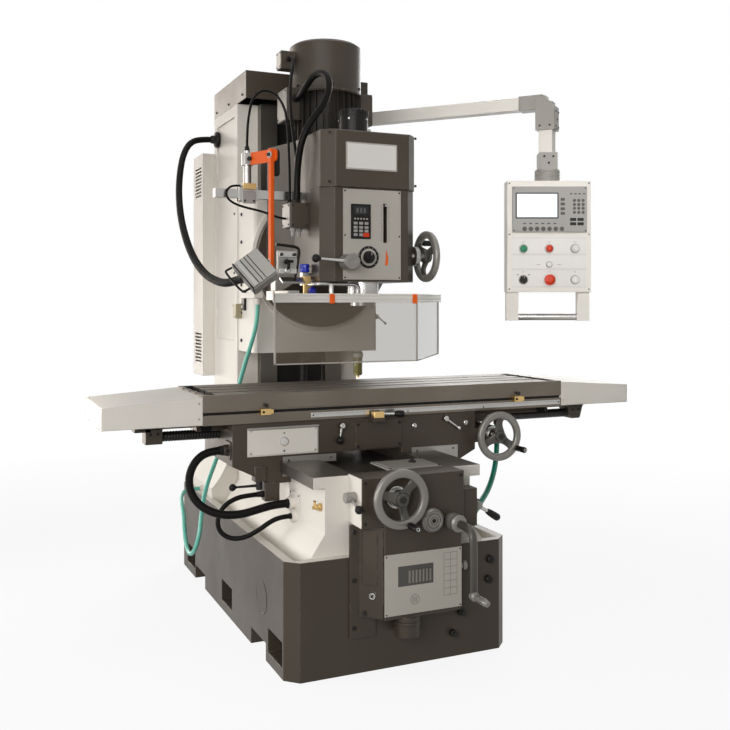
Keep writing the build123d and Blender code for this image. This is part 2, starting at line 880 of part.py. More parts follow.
# Table: tee slots along its top, dovetail tongue below, dog groove along its front
with BuildPart() as table:
    slab((table_left, table_front, table_bottom), (table_right, table_front + table_width, table_top))
    with BuildSketch(Plane.YZ.offset(table_left)) as tongue:
        tongue_half = tongue_width / 2
        tongue_foot = table_bottom - tongue_depth
        with BuildLine():
            Polyline(
                (table_middle - tongue_half + tongue_slope, table_bottom),
                (table_middle - tongue_half, tongue_foot),
                (table_middle + tongue_half, tongue_foot),
                (table_middle + tongue_half - tongue_slope, table_bottom),
                close=True,
            )
        make_face()
    extrude(amount=table_length)
    with BuildSketch(Plane.YZ.offset(table_left)) as tee_slots:
        with Locations((table_middle, table_top)):
            with GridLocations(slot_pitch, 1, slot_count, 1):
                Rectangle(slot_neck, slot_neck_depth, align=(Align.CENTER, Align.MAX))
                with Locations((0, -slot_neck_depth)):
                    Rectangle(slot_foot, slot_foot_depth, align=(Align.CENTER, Align.MAX))
        with Locations((table_front, table_top - dog_groove_drop)):
            Rectangle(dog_groove_depth, dog_groove_width, align=(Align.MIN, Align.CENTER))
    extrude(amount=table_length, mode=Mode.SUBTRACT)
    for end, side in ((table_left, 1), (table_right, -1)):
        middle = end + side * (end_trough_rim + end_trough_width / 2)
        with Locations((middle, table_middle, table_top)):
            Box(
                end_trough_width,
                table_width - 2 * end_trough_rim,
                end_trough_depth,
                align=from_above,
                mode=Mode.SUBTRACT,
            )
keep(table, "table")

with BuildPart() as trip_dogs:
    dog_z = table_top - dog_groove_drop
    for place in (table_left + left_dog, table_right - right_dog):
        with Locations((place, table_front, dog_z)):
            Box(dog_width, dog_stand, dog_height, align=(Align.CENTER, Align.MAX, Align.CENTER))
            Box(
                dog_width,
                dog_groove_depth - slide_gap,
                dog_groove_width - 2 * slide_gap,
                align=(Align.CENTER, Align.MIN, Align.CENTER),
            )
keep(trip_dogs, "trip_dogs")

# Folded end covers, open below, that fall away from the table
with BuildPart() as table_covers:
    for end, side in ((table_left, -1), (table_right, 1)):
        inner_top = table_top - end_cover_drop
        outer_top = inner_top - end_cover_fall
        skirt = inner_top - end_cover_skirt
        outer = end + side * end_cover_length
        with BuildSketch(Plane.XZ.offset(-(table_front + table_width))) as cover_side:
            Polygon((end, skirt), (end, inner_top), (outer, outer_top), (outer, skirt), align=None)
        extrude(amount=table_width)
        inset = side * end_cover_wall
        with BuildSketch(Plane.XZ.offset(-(table_front + table_width - end_cover_wall))) as cover_hollow:
            Polygon(
                (end + inset, skirt),
                (end + inset, inner_top - end_cover_wall),
                (outer - inset, outer_top - end_cover_wall),
                (outer - inset, skirt),
                align=None,
            )
        extrude(amount=table_width - 2 * end_cover_wall, mode=Mode.SUBTRACT)
keep(table_covers, "table_covers")

with BuildPart() as x_screw:
    screw_left = table_left - left_bracket_reach - screw_tail
    screw_right = table_right + right_bracket_reach
    with Locations(facing_right(screw_left, table_middle, x_screw_z)):
        Cylinder(x_screw_radius, screw_right - screw_left, align=from_below)
keep(x_screw, "x_screw")

with BuildPart() as screw_brackets:
    for end, side, reach in ((table_left, -1, left_bracket_reach), (table_right, 1, right_bracket_reach)):
        far = end + side * reach
        bar_low = saddle_top - bracket_bar_height
        slab(
            (min(end, far), table_middle - bracket_bar_width / 2, bar_low),
            (max(end, far), table_middle + bracket_bar_width / 2, saddle_top),
        )
        near = far - side * bracket_block
        slab(
            (min(near, far), table_middle - bracket_bar_width / 2, saddle_top - bracket_block_drop),
            (max(near, far), table_middle + bracket_bar_width / 2, bar_low),
        )
    with Locations(facing_right(screw_left, table_middle, x_screw_z)):
        Cylinder(x_screw_radius, screw_right - screw_left, align=from_below, mode=Mode.SUBTRACT)
keep(screw_brackets, "screw_brackets")

# Head slide: grooved block on the column's ways, with the head's angle ring in front
with BuildPart() as head_slide:
    slab((-slide_width / 2, slide_front, slide_bottom), (slide_width / 2, slide_back, slide_top))
    chamfer(head_slide.edges().filter_by(Axis.Z).group_by(Axis.Y)[0], 10.0)
    for side in (-1, 1):
        with Locations((side * upright_centre, slide_back, slide_bottom)):
            Box(
                upright_width + 2 * slide_gap,
                upright_rise,
                slide_height,
                align=(Align.CENTER, Align.MAX, Align.MIN),
                mode=Mode.SUBTRACT,
            )
    slab(
        (-screw_bearing_width / 2 - gib_gap, column_front - bearing_reach - gib_gap, slide_bottom),
        (screw_bearing_width / 2 + gib_gap, slide_back, slide_top),
        Mode.SUBTRACT,
    )
    with BuildSketch(Plane.XZ.offset(-slide_front)):
        with Locations((0, pivot_z)):
            Circle(ring_radius)
    extrude(amount=ring_thick)
    # Nut on the lifting screw, in the slide's hollow back
    slab(
        (-screw_bearing_width / 2 - gib_gap, column_front - bearing_reach - gib_gap, pivot_z),
        (screw_bearing_width / 2 + gib_gap, slide_back, pivot_z + 120.0),
    )
    with Locations((0, z_screw_y, pivot_z)):
        Cylinder(z_screw_radius + run_gap, 120.0, align=from_below, mode=Mode.SUBTRACT)
    # Lug at the left that holds the coolant hose
    lug_x = -slide_width / 2 - hose_lug_width
    lug_bottom = slide_bottom + hose_lug_rise
    slab(
        (lug_x, slide_front - hose_lug_length + 40.0, lug_bottom),
        (-slide_width / 2, slide_front + 60.0, lug_bottom + hose_lug_thick),
    )
    barb_y = slide_front - hose_lug_length + 40.0 + hose_lug_width / 2
    with Locations((lug_x + hose_lug_width / 2, barb_y, lug_bottom)):
        Cylinder(hose_diameter / 2 + 3, hose_barb_drop, align=from_above)
keep(head_slide, "head_slide")

with BuildPart() as oil_bottle:
    with Locations((bottle_place, slide_front + 40.0, slide_bottom)):
        Cylinder(bottle_radius + 3.0, bottle_cap_height, align=from_above)
        with Locations((0, 0, -bottle_cap_height)):
            Cylinder(bottle_radius, bottle_height, align=from_above)
    fillet(oil_bottle.edges().group_by(Axis.Z)[0], 6.0)
keep(oil_bottle, "oil_bottle")

# Head: bevelled front housing, spreading neck and swivel disc
with BuildPart() as head_housing:
    with BuildSketch(Plane.XY.offset(head_bottom)) as head_plan:
        with Locations((0, (head_front + neck_front) / 2)):
            Rectangle(head_width, neck_front - head_front)
        chamfer(head_plan.vertices().group_by(Axis.Y)[0], head_bevel)
    extrude(amount=head_top - head_bottom)
    for plane_y, half, bottom in (
        (neck_front, head_half, head_bottom),
        (disc_front, head_half + neck_spread, head_bottom - neck_drop),
    ):
        with BuildSketch(Plane.XZ.offset(-plane_y)):
            with Locations((0, bottom)):
                Rectangle(2 * half, head_top - bottom, align=(Align.CENTER, Align.MIN))
    loft()
    with BuildSketch(Plane.XZ.offset(-disc_back)):
        with Locations((0, pivot_z)):
            Circle(disc_radius)
    extrude(amount=disc_thick)
    slab(
        (-head_half, head_front, cover_bottom),
        (head_half, cover_back, head_top),
        Mode.SUBTRACT,
    )
    with Locations((0, spindle_y, head_bottom)):
        Cylinder(
            quill_radius + run_gap,
            quill_length - quill_out + 30.0,
            align=from_below,
            mode=Mode.SUBTRACT,
        )
    slot_top = head_bottom + quill_length - quill_out + 4.0
    slot_bottom = slot_top - quill_travel - pointer_thick - 8.0
    slab(
        (pointer_offset - slot_width / 2, head_front, slot_bottom),
        (pointer_offset + slot_width / 2, spindle_y, slot_top),
        Mode.SUBTRACT,
    )
    drill(quill_lever_frame, shaft_radius + run_gap, shaft_depth)
    drill(head_wheel_frame, shaft_radius + run_gap, shaft_depth)
    drill(speed_knob_frame, lever_pin_radius + run_gap, lever_pin_depth)
    drill(valve_frame, lever_pin_radius, lever_pin_depth)
keep(head_housing, "head_housing")

# Gear cover over the head's upper front
with BuildPart() as head_cover:
    with BuildSketch(Plane.XY.offset(cover_bottom)) as cover_plan:
        with Locations((0, (cover_front + cover_back) / 2)):
            Rectangle(head_width, cover_back - cover_front)
        chamfer(cover_plan.vertices().group_by(Axis.Y)[0], head_bevel)
    extrude(amount=head_top - cover_bottom)
    fillet(head_cover.edges().group_by(Axis.Z)[-1].filter_by(Axis.X).group_by(Axis.Y)[0], 8.0)
keep(head_cover, "head_cover")

with BuildPart() as control_panel:
    panel_top = cover_bottom - 6.0
    slab(
        (-panel_width / 2, panel_front, panel_top - panel_height),
        (panel_width / 2, head_front, panel_top),
    )
    slab(
        (pointer_offset - slot_width / 2, panel_front, slot_bottom),
        (pointer_offset + slot_width / 2, head_front, slot_top),
        Mode.SUBTRACT,
    )
    drill(quill_lever_frame, shaft_radius + run_gap, plate_thick)
    drill(speed_knob_frame, lever_pin_radius + run_gap, plate_thick)
keep(control_panel, "control_panel")

# Spindle motor: finned body on a flange with terminal boxes, and its fan cowl
with BuildPart() as spindle_motor:
    with Locations((0, motor_y, head_top)):
        Cylinder(motor_flange_radius, motor_flange_thick, align=from_below)
        Cylinder(motor_radius, motor_flange_thick + motor_height, align=from_below)
        with Locations((0, 0, motor_flange_thick)):
            with PolarLocations(motor_radius + fin_rise / 2 - 2.0, fin_count):
                Box(fin_rise + 4.0, fin_thick, motor_height, align=from_below)
        for side in (-1, 1):
            with Locations((side * (motor_radius + terminal_thick / 2), 0, motor_flange_thick + terminal_rise)):
                Box(terminal_thick + 10.0, terminal_width, terminal_height, align=from_below)
    cowl_bottom = head_top + motor_flange_thick + motor_height
    with BuildSketch(Plane.XZ.offset(-motor_y)) as cowl_profile:
        with BuildLine():
            Polyline(
                (0, cowl_bottom + cowl_height),
                (cowl_radius - 14.0, cowl_bottom + cowl_height),
                (cowl_radius, cowl_bottom + cowl_height - 10.0),
                (cowl_radius, cowl_bottom),
                (cowl_radius - cowl_wall - 26.0, cowl_bottom),
                (cowl_radius - cowl_wall - 26.0, cowl_bottom + cowl_wall),
                (cowl_radius - cowl_wall, cowl_bottom + cowl_wall),
                (cowl_radius - cowl_wall, cowl_bottom + cowl_height - 12.0),
                (0, cowl_bottom + cowl_height - 12.0),
                close=True,
            )
        make_face()
    revolve(axis=Axis((0, motor_y, 0), (0, 0, 1)))
    # Small switch box on the left of the cowl
    with Locations((-cowl_radius - switch_box_thick / 2, motor_y, cowl_bottom + cowl_height - 70.0)):
        Box(switch_box_thick + 12.0, switch_box_width, switch_box_height)
keep(spindle_motor, "spindle_motor")

with BuildPart() as drawbar_cap:
    with Locations((0, cover_front + drawbar_setback, head_top)):
        Cylinder(drawbar_radius, drawbar_height, align=from_below)
    fillet(drawbar_cap.edges().group_by(Axis.Z)[-1], 8.0)
keep(drawbar_cap, "drawbar_cap")

with BuildPart() as junction_box:
    junction_y = head_front + junction_setback
    slab(
        (-head_half - junction_thick, junction_y, pivot_z + junction_rise),
        (-head_half, junction_y + junction_width, pivot_z + junction_rise + junction_height),
    )
    fillet(junction_box.edges().filter_by(Axis.Z).group_by(Axis.X)[0], 5.0)
keep(junction_box, "junction_box")

# Quill with its depth pointer, and the spindle that runs in it
quill_top = head_bottom + quill_length - quill_out
with BuildPart() as quill:
    with Locations((0, spindle_y, quill_top)):
        Cylinder(quill_radius, quill_length, align=from_above)
        Cylinder(drive_radius + run_gap, quill_length, align=from_above, mode=Mode.SUBTRACT)
    with Locations((0, spindle_y, quill_top - quill_length)):
        Cylinder(spindle_radius + run_gap, journal_length + slide_gap, align=from_below, mode=Mode.SUBTRACT)
    pointer_back = spindle_y - quill_radius * 0.4
    slab(
        (pointer_offset - pointer_width / 2, panel_front - 8.0, quill_top - pointer_thick),
        (pointer_offset + pointer_width / 2, pointer_back, quill_top),
    )
keep(quill, "quill")

nose_top = quill_top - quill_length
nose_bottom = nose_top - slide_gap - nose_length
with BuildPart() as spindle:
    with Locations((0, spindle_y, nose_bottom)):
        Cylinder(nose_radius, nose_length, align=from_below)
        Cylinder(spindle_radius, nose_length + slide_gap + journal_length, align=from_below)
        Cylinder(drive_radius, nose_length + slide_gap + quill_length, align=from_below)
        with Locations((0, 0, taper_depth / 2)):
            Cone(taper_mouth_radius, taper_end_radius, taper_depth, mode=Mode.SUBTRACT)
keep(spindle, "spindle")

# Quill feed lever, speed knob and the fine-feed wheel
with BuildPart() as quill_lever:
    with Locations(quill_lever_frame):
        with Locations((0, 0, 1.0 - shaft_depth)):
            Cylinder(shaft_radius, shaft_depth, align=from_below)
        with Locations((0, 0, slide_gap)):
            Cylinder(27.0, 62.0, align=from_below)
    with Locations(in_plane(quill_lever_frame, 176.0, 48.0)):
        Cylinder(6.5, 126.0, align=from_below)
        with Locations((0, 0, 126.0)):
            Sphere(14.0)
keep(quill_lever, "quill_lever")

with BuildPart() as speed_knob:
    with Locations(speed_knob_frame):
        with Locations((0, 0, 1.0 - lever_pin_depth)):
            Cylinder(lever_pin_radius, lever_pin_depth, align=from_below)
        with Locations((0, 0, slide_gap)):
            Cylinder(21.0, 18.0, align=from_below)
        with Locations((0, 0, 18.0)):
            Box(5.0, 38.0, 8.0, align=from_below)
keep(speed_knob, "speed_knob")

head_handwheel = handwheel(head_wheel_frame, 56.0, 40.0)
keep(head_handwheel, "head_handwheel")

# Coolant valve on the head's left side, and its turning handle
with BuildPart() as coolant_valve:
    with Locations(valve_frame):
        with Locations((0, 0, -lever_pin_depth + 1.0)):
            Cylinder(lever_pin_radius - run_gap, lever_pin_depth, align=from_below)
        Cylinder(11.0, 12.0, align=from_below)
        with Locations((0, -10.0, 22.0)):
            Box(24.0, 44.0, 24.0)
    # Spout pipe under the front of the head
    pipe_start = valve_frame.from_local_coords((8.0, -29.0, 22.0))
    pipe_front = head_front + 20.0
    with BuildLine() as pipe_line:
        FilletPolyline(
            pipe_start,
            (pipe_start.X, pipe_front, pipe_start.Z),
            (-44.0, pipe_front, pipe_start.Z),
            (-44.0, pipe_front, pipe_start.Z - 40.0),
            radius=20.0,
        )
    with BuildSketch(Plane(origin=pipe_line.line @ 0, z_dir=pipe_line.line % 0)):
        Circle(pipe_radius)
    sweep(path=pipe_line.line)
keep(coolant_valve, "coolant_valve")

valve_top = valve_frame.from_local_coords((0, 12.0, 22.0))
with BuildPart() as valve_handle:
    with Locations(valve_top + Vector(0, 0, slide_gap)):
        Cylinder(9.0, 8.0, align=from_below)
        with Locations((0, 0, 6.0)):
            Cylinder(16.0, 16.0, align=from_below)
    fillet(valve_handle.edges().group_by(Axis.Z)[-1], 5.0)
keep(valve_handle, "valve_handle")

# Guard: fixed bar and post on the head, swinging arm, rail and clear panes
bar_y = head_front + bar_setback
bar_z = pivot_z + bar_rise
post_x = -head_half - post_offset
post_top = bar_z + bar_size / 2 + post_height + collar_height + slide_gap
with BuildPart() as guard_bar:
    slab(
        (-head_half - bar_length, bar_y - bar_size / 2, bar_z - bar_size / 2),
        (-head_half, bar_y + bar_size / 2, bar_z + bar_size / 2),
    )
    with Locations((post_x, bar_y, bar_z)):
        Cylinder(post_shoulder, bar_size / 2 + post_height, align=from_below)
        Cylinder(post_radius, post_top + post_tip - bar_z, align=from_below)
    for side in (-1, 1):
        slab(
            (post_x - 34.0, bar_y + side * bar_size / 2 - 4.0, bar_z - 24.0),
            (post_x + 34.0, bar_y + side * bar_size / 2 + 4.0, bar_z + 24.0),
        )
keep(guard_bar, "guard_bar")

arm_reach = hypot(guard_arm_x, guard_arm_y)
collar_bottom = bar_z + bar_size / 2 + post_height + slide_gap
rail_top = pivot_z - guard_rail_drop
rail_bottom = rail_top - guard_rail_height
rail_y = head_front - guard_stand
guard_frame = Plane(origin=(post_x, bar_y, 0), x_dir=(guard_arm_x, guard_arm_y, 0), z_dir=(0, 0, 1))
with BuildPart() as guard_arm:
    with Locations(guard_frame):
        with Locations((0, 0, collar_bottom)):
            Cylinder(collar_radius, collar_height - slide_gap, align=from_below)
            with Locations((arm_reach / 2, 0, 0)):
                Box(arm_reach, guard_bar_thick, collar_height - slide_gap, align=from_below)
            Cylinder(post_radius + run_gap, collar_height, align=from_below, mode=Mode.SUBTRACT)
        with Locations((arm_reach, 0, rail_top)):
            Box(guard_link_width, guard_bar_thick, collar_bottom + collar_height - rail_top, align=from_below)
keep(guard_arm, "guard_arm")

link_point = guard_frame.from_local_coords((arm_reach, 0, 0))
wing_end = (guard_right + guard_wing_x, rail_y + guard_wing_y)
rail_end = (wing_end[0] + rail_overrun * 0.62, wing_end[1] + rail_overrun * 0.78)
with BuildPart() as guard_rail:
    with BuildSketch(Plane.XY.offset(rail_bottom)) as rail_plan:
        with BuildLine():
            Polyline((-guard_left, rail_y), (guard_right, rail_y), rail_end)
        trace(line_width=guard_rail_thick)
    extrude(amount=guard_rail_height)
    slab(
        (link_point.X - 20.0, rail_y, rail_top - 30.0),
        (link_point.X + 20.0, link_point.Y + 20.0, rail_top),
    )
keep(guard_rail, "guard_rail")

with BuildPart() as guard_panes:
    with BuildSketch(Plane.XY.offset(rail_bottom)) as pane_plan:
        with BuildLine():
            Polyline((-guard_left, rail_y), (guard_right, rail_y), wing_end)
        trace(line_width=guard_pane_thick)
    extrude(amount=-guard_pane_height)
keep(guard_panes, "guard_panes")

# Pendant: bracket on the column, swinging arm, case with readout, and its controls
arm_frame = Plane(
    origin=(arm_pivot_x, arm_pivot_y, arm_height),
    x_dir=(elbow_x - arm_pivot_x, elbow_y - arm_pivot_y, 0),
    z_dir=(0, 0, 1),
)
arm_length = hypot(elbow_x - arm_pivot_x, elbow_y - arm_pivot_y)
with BuildPart() as pendant_bracket:
    ear_reach = arm_pivot_x + sleeve_radius
    half_gap = sleeve_height / 2 + slide_gap
    top_ear = arm_height + half_gap
    low_ear = arm_height - half_gap - ear_thick
    slab(
        (column_half, arm_pivot_y - sleeve_radius, low_ear),
        (column_half + 16.0, arm_pivot_y + sleeve_radius, column_top),
    )
    slab(
        (column_half, arm_pivot_y - sleeve_radius, low_ear),
        (ear_reach, arm_pivot_y + sleeve_radius, low_ear + ear_thick),
    )
    slab(
        (column_half + cap_wall, arm_pivot_y - sleeve_radius, top_ear),
        (ear_reach, arm_pivot_y + sleeve_radius, top_ear + ear_thick),
    )
    slab(
        (column_half + cap_wall, arm_pivot_y - sleeve_radius, column_top),
        (column_half + 16.0, arm_pivot_y + sleeve_radius, top_ear + ear_thick),
    )
    with Locations((arm_pivot_x, arm_pivot_y, low_ear)):
        Cylinder(arm_pin_radius, top_ear + ear_thick - low_ear, align=from_below)
keep(pendant_bracket, "pendant_bracket")

case_top = arm_height - drop_length - coupling_height + coupling_depth
case_bottom = case_top - case_height
with BuildPart() as pendant_arm:
    with Locations(arm_frame):
        Cylinder(sleeve_radius, sleeve_height)
        with Locations((arm_length / 2, 0, 0)):
            Box(arm_length, arm_size, arm_size)
        Cylinder(arm_pin_radius + run_gap, sleeve_height, mode=Mode.SUBTRACT)
        with Locations((arm_length - elbow_size / 2 - elbow_sleeve / 2, 0, 0)):
            Box(elbow_sleeve, arm_size + 8.0, arm_size + 8.0)
        with Locations((arm_length, 0, 0)):
            Cylinder(drop_radius, drop_length, align=from_above)
            Box(drop_size, drop_size, drop_length - coupling_depth - slide_gap, align=from_above)
    with BuildSketch(Plane(arm_frame.origin, arm_frame.x_dir, -arm_frame.y_dir)) as elbow_side:
        elbow_top = arm_size / 2 + 2.0
        elbow_end = arm_length + elbow_size / 2
        with BuildLine():
            Polyline(
                (elbow_end - elbow_size, elbow_top),
                (elbow_end - elbow_chamfer, elbow_top),
                (elbow_end, elbow_top - elbow_chamfer),
                (elbow_end, elbow_top - elbow_height),
                (elbow_end - elbow_size, elbow_top - elbow_height),
                close=True,
            )
        make_face()
    extrude(amount=elbow_size / 2, both=True)
keep(pendant_arm, "pendant_arm")

pendant_frame = Plane(
    origin=(elbow_x, elbow_y, case_top),
    x_dir=(cos(radians(pendant_turn)), -sin(radians(pendant_turn)), 0),
    z_dir=(0, 0, 1),
)


def on_face(x, drop):
    # A spot on the pendant's front, looking at the operator.
    spot = pendant_frame.from_local_coords((x, -case_depth / 2, -drop))
    return Plane(origin=spot, x_dir=pendant_frame.x_dir, z_dir=-pendant_frame.y_dir)


control_frames = {
    "start_button": on_face(-button_column, upper_row_drop),
    "stop_button": on_face(0, upper_row_drop),
    "selector_knob": on_face(-button_column, lower_row_drop),
    "estop_button": on_face(0, lower_row_drop),
}

with BuildPart() as pendant_case:
    with Locations(pendant_frame):
        Box(case_width, case_depth, case_height, align=from_above)
        Cylinder(coupling_radius, collar_rise, align=from_below)
        Box(coupling_size, coupling_size, coupling_height, align=from_below)
        with Locations((0, 0, coupling_height)):
            Cylinder(drop_radius + run_gap, coupling_depth + slide_gap, align=from_above, mode=Mode.SUBTRACT)
        for side in (-1, 1):
            with Locations((side * (case_width - handle_strap) / 2, 0, -case_height)):
                Box(handle_strap, 2.2 * handle_radius, handle_drop, align=from_above)
        with Locations((0, 0, -case_height - handle_drop + 1.1 * handle_radius)):
            Cylinder(handle_radius, case_width - handle_strap, rotation=(0, 90, 0))
    for frame in control_frames.values():
        drill(frame, button_stem + run_gap, button_bore_depth)
keep(pendant_case, "pendant_case")

with BuildPart() as readout:
    with Locations(on_face(0, readout_drop + readout_height / 2)):
        Box(readout_width, readout_height, readout_stand, align=from_below)
keep(readout, "readout")


def push_button(frame, cap_radius, cap_height):
    with BuildPart() as button:
        with Locations(frame):
            with Locations((0, 0, button_travel + 2.0 - button_bore_depth)):
                Cylinder(button_stem, button_bore_depth, align=from_below)
            with Locations((0, 0, button_travel + 1.0)):
                Cylinder(cap_radius, cap_height, align=from_below)
    return button


start_button = push_button(control_frames["start_button"], button_cap_radius, button_cap_height)
keep(start_button, "start_button")

stop_button = push_button(control_frames["stop_button"], button_cap_radius, button_cap_height)
keep(stop_button, "stop_button")

estop_button = push_button(control_frames["estop_button"], estop_radius, 2 * button_cap_height)
keep(estop_button, "estop_button")

with BuildPart() as selector_knob:
    with Locations(control_frames["selector_knob"]):
        with Locations((0, 0, 1.0 - button_bore_depth)):
            Cylinder(button_stem, button_bore_depth, align=from_below)
        with Locations((0, 0, slide_gap)):
            Cylinder(knob_radius, knob_height / 2, align=from_below)
            Box(knob_radius / 2, 2 * knob_radius, knob_height, align=from_below)
keep(selector_knob, "selector_knob")


def bend_radii(points):
    # Each bend takes 0.45 of its shorter run on both sides of the corner.
    radii = []
    for before, corner, after in zip(points, points[1:], points[2:]):
        into = Vector(corner) - Vector(before)
        out = Vector(after) - Vector(corner)
        half_turn = radians(into.get_angle(out)) / 2
        radii.append(0.45 * min(into.length, out.length) / tan(half_turn))
    return radii


def cord(name, points, diameter):
    radii = bend_radii(points)
    with BuildPart() as tube:
        with BuildLine() as route:
            FilletPolyline(*points, radius=radii)
        with BuildSketch(Plane(origin=route.line @ 0, z_dir=route.line % 0)):
            Circle(diameter / 2)
        sweep(path=route.line)
    length = route.wire().length
    expected = pi * diameter**2 / 4 * length
    tightest = min(radii) / diameter
    print(f"{name}: {length:.0f} mm, tightest bend {tightest:.1f} diameters,", end=" ")
    print(f"volume {tube.part.volume / expected:.4f} of section times length, radii", [round(r) for r in radii])
    keep(tube, name)


# Lamp on a stiff bent arm from the column's left side
lamp_y = 600.0
lamp_z = 1842.0
lamp_route = [
    (-column_half - rosette_thick, lamp_y, lamp_z),
    (-330.0, lamp_y, lamp_z - 2.0),
    (-386.0, 562.0, 1820.0),
    (-430.0, 498.0, 1766.0),
    (-466.0, 410.0, 1684.0),
    (-502.0, 280.0, 1567.0),
    (-536.0, 80.0, 1437.0),
    (-552.0, -130.0, 1316.0),
    (-552.0, -320.0, 1236.0),
    (-540.0, -480.0, 1203.0),
    (-526.0, -580.0, 1203.0),
    (-510.0, -632.0, 1216.0),
]
lamp_point = Vector(-473.0, -665.0, 1266.0)
lamp_aim = (Vector(0, spindle_y, 1000.0) - lamp_point).normalized()
lamp_side = Vector(0, 0, 1).cross(lamp_aim).normalized()
lamp_rise = lamp_aim.cross(lamp_side)
lamp_roll = radians(38.0)
with BuildPart() as lamp_arm:
    with BuildLine() as lamp_line:
        FilletPolyline(*lamp_route, radius=bend_radii(lamp_route))
    with BuildSketch(Plane(origin=lamp_line.line @ 0, z_dir=lamp_line.line % 0)):
        Circle(lamp_arm_diameter / 2)
    sweep(path=lamp_line.line)
    with Locations(facing_left(-column_half, lamp_y, lamp_z)):
        Cylinder(rosette_radius, rosette_thick, align=from_below)
keep(lamp_arm, "lamp_arm")

lamp_end = lamp_line.line @ 1
lamp_tilt = lamp_side * cos(lamp_roll) + lamp_rise * sin(lamp_roll)
lamp_frame = Plane(origin=lamp_point, x_dir=lamp_tilt, z_dir=lamp_aim)
socket_frame = Plane(origin=lamp_end, z_dir=lamp_line.line % 1)
with BuildPart() as lamp_head:
    with Locations(lamp_frame):
        Box(lamp_size, lamp_size, lamp_depth)
    with Locations(socket_frame):
        Cylinder(lamp_neck_radius, 60.0, align=from_below)
keep(lamp_head, "lamp_head")

# Cords, each along its own route
saddle_end = -saddle_half - gland_length
bed_end = -bed_half - gland_length
cord(
    "saddle_conduit",
    [
        (saddle_end, saddle_front + conduit_setback, saddle_top - conduit_drop),
        (saddle_end - 49.0, saddle_front + conduit_setback, saddle_top - conduit_drop),
        (-574.0, -306.0, 625.0),
        (-599.0, -316.0, 580.0),
        (-599.0, -328.0, 529.0),
        (-573.0, -341.0, 485.0),
        (-528.0, -353.0, 457.0),
        (-476.0, -362.0, 446.0),
        (-424.0, -367.0, 449.0),
        (-372.0, -370.0, 461.0),
        (-324.0, -370.0, 470.0),
        (bed_end, -370.0, 470.0),
    ],
    conduit_diameter,
)
cord(
    "saddle_cable",
    [
        (-cable_block_x, saddle_front + clamp_setback, saddle_top - cable_exit_drop),
        (-cable_block_x - 48.0, saddle_front + clamp_setback, saddle_top - cable_exit_drop),
        (-444.0, -328.0, 494.0),
        (-485.0, -326.0, 472.0),
        (-508.0, -326.0, 432.0),
        (-503.0, -332.0, 390.0),
        (-470.0, -346.0, 365.0),
        (-426.0, -364.0, 368.0),
        (-382.0, -382.0, 394.0),
        (-346.0, -396.0, 422.0),
        (-312.0, -400.0, 434.0),
        (bed_end, -400.0, 434.0),
    ],
    saddle_cable_diameter,
)
hose_x = lug_x + hose_lug_width / 2
cord(
    "coolant_hose",
    [
        (hose_x, barb_y, lug_bottom - hose_barb_drop),
        (hose_x, barb_y, 1072.0),
        (-292.0, 10.0, 980.0),
        (-300.0, 66.0, 900.0),
        (-312.0, 112.0, 810.0),
        (-330.0, 136.0, 710.0),
        (-360.0, 140.0, 610.0),
        (-404.0, 122.0, 520.0),
        (-446.0, 84.0, 440.0),
        (-470.0, 40.0, 364.0),
        (-484.0, 12.0, 296.0),
        (-496.0, 30.0, 236.0),
        (-502.0, 84.0, 206.0),
        (-502.0, 146.0, 226.0),
        (-496.0, 204.0, 274.0),
        (-486.0, 260.0, 320.0),
        (-482.0, 312.0, 346.0),
        (-474.0, 358.0, 363.0),
        (-456.0, 402.0, 375.0),
        (-428.0, column_front + 120.0, 380.0),
        (-foot_half - gland_length, column_front + 120.0, base_height + column_foot_rise / 2),
    ],
    hose_diameter,
)
cord(
    "drain_hose",
    [
        (drain_x, drain_y, saddle_top - 52.0 - drain_barb),
        (drain_x, drain_y, 630.0),
        (602.0, -270.0, 578.0),
        (576.0, -302.0, 528.0),
        (536.0, -344.0, 484.0),
        (484.0, -394.0, 450.0),
        (430.0, -442.0, 430.0),
        (384.0, -480.0, 412.0),
        (352.0, -504.0, 382.0),
        (338.0, -514.0, 346.0),
    ],
    drain_diameter,
)
junction_top = pivot_z + junction_rise + junction_height
terminal_left = -motor_radius - terminal_thick / 2
terminal_front = motor_y - terminal_width / 2
cord(
    "motor_conduit",
    [
        (terminal_left, terminal_front, 1900.0),
        (terminal_left, terminal_front - 52.0, 1900.0),
        (-136.0, -162.0, 1924.0),
        (-126.0, -208.0, 1952.0),
        (-112.0, -258.0, 1956.0),
        (-104.0, -302.0, 1930.0),
        (-110.0, -324.0, 1876.0),
        (-136.0, -328.0, 1818.0),
        (-176.0, -324.0, 1768.0),
        (-206.0, -312.0, 1706.0),
        (-212.0, -290.0, 1636.0),
        (-210.0, junction_y + 30.0, 1566.0),
        (-210.0, junction_y + 30.0, junction_top),
    ],
    motor_cable_diameter,
)
cord(
    "switch_cable",
    [
        (post_x, bar_y, post_top + post_tip),
        (post_x, bar_y, 1738.0),
        (post_x + 8.0, bar_y + 3.0, 1802.0),
        (post_x + 22.0, bar_y + 6.0, 1858.0),
        (post_x + 62.0, bar_y + 8.0, 1892.0),
        (post_x + 108.0, bar_y + 4.0, 1876.0),
        (post_x + 136.0, bar_y - 6.0, 1830.0),
        (post_x + 142.0, bar_y - 20.0, 1764.0),
        (post_x + 142.0, bar_y - 30.0, 1680.0),
        (post_x + 142.0, junction_y + 58.0, 1590.0),
        (post_x + 142.0, junction_y + 58.0, junction_top),
    ],
    switch_cable_diameter,
)
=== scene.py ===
from collections import defaultdict
from math import cos, hypot, pi, radians, sin

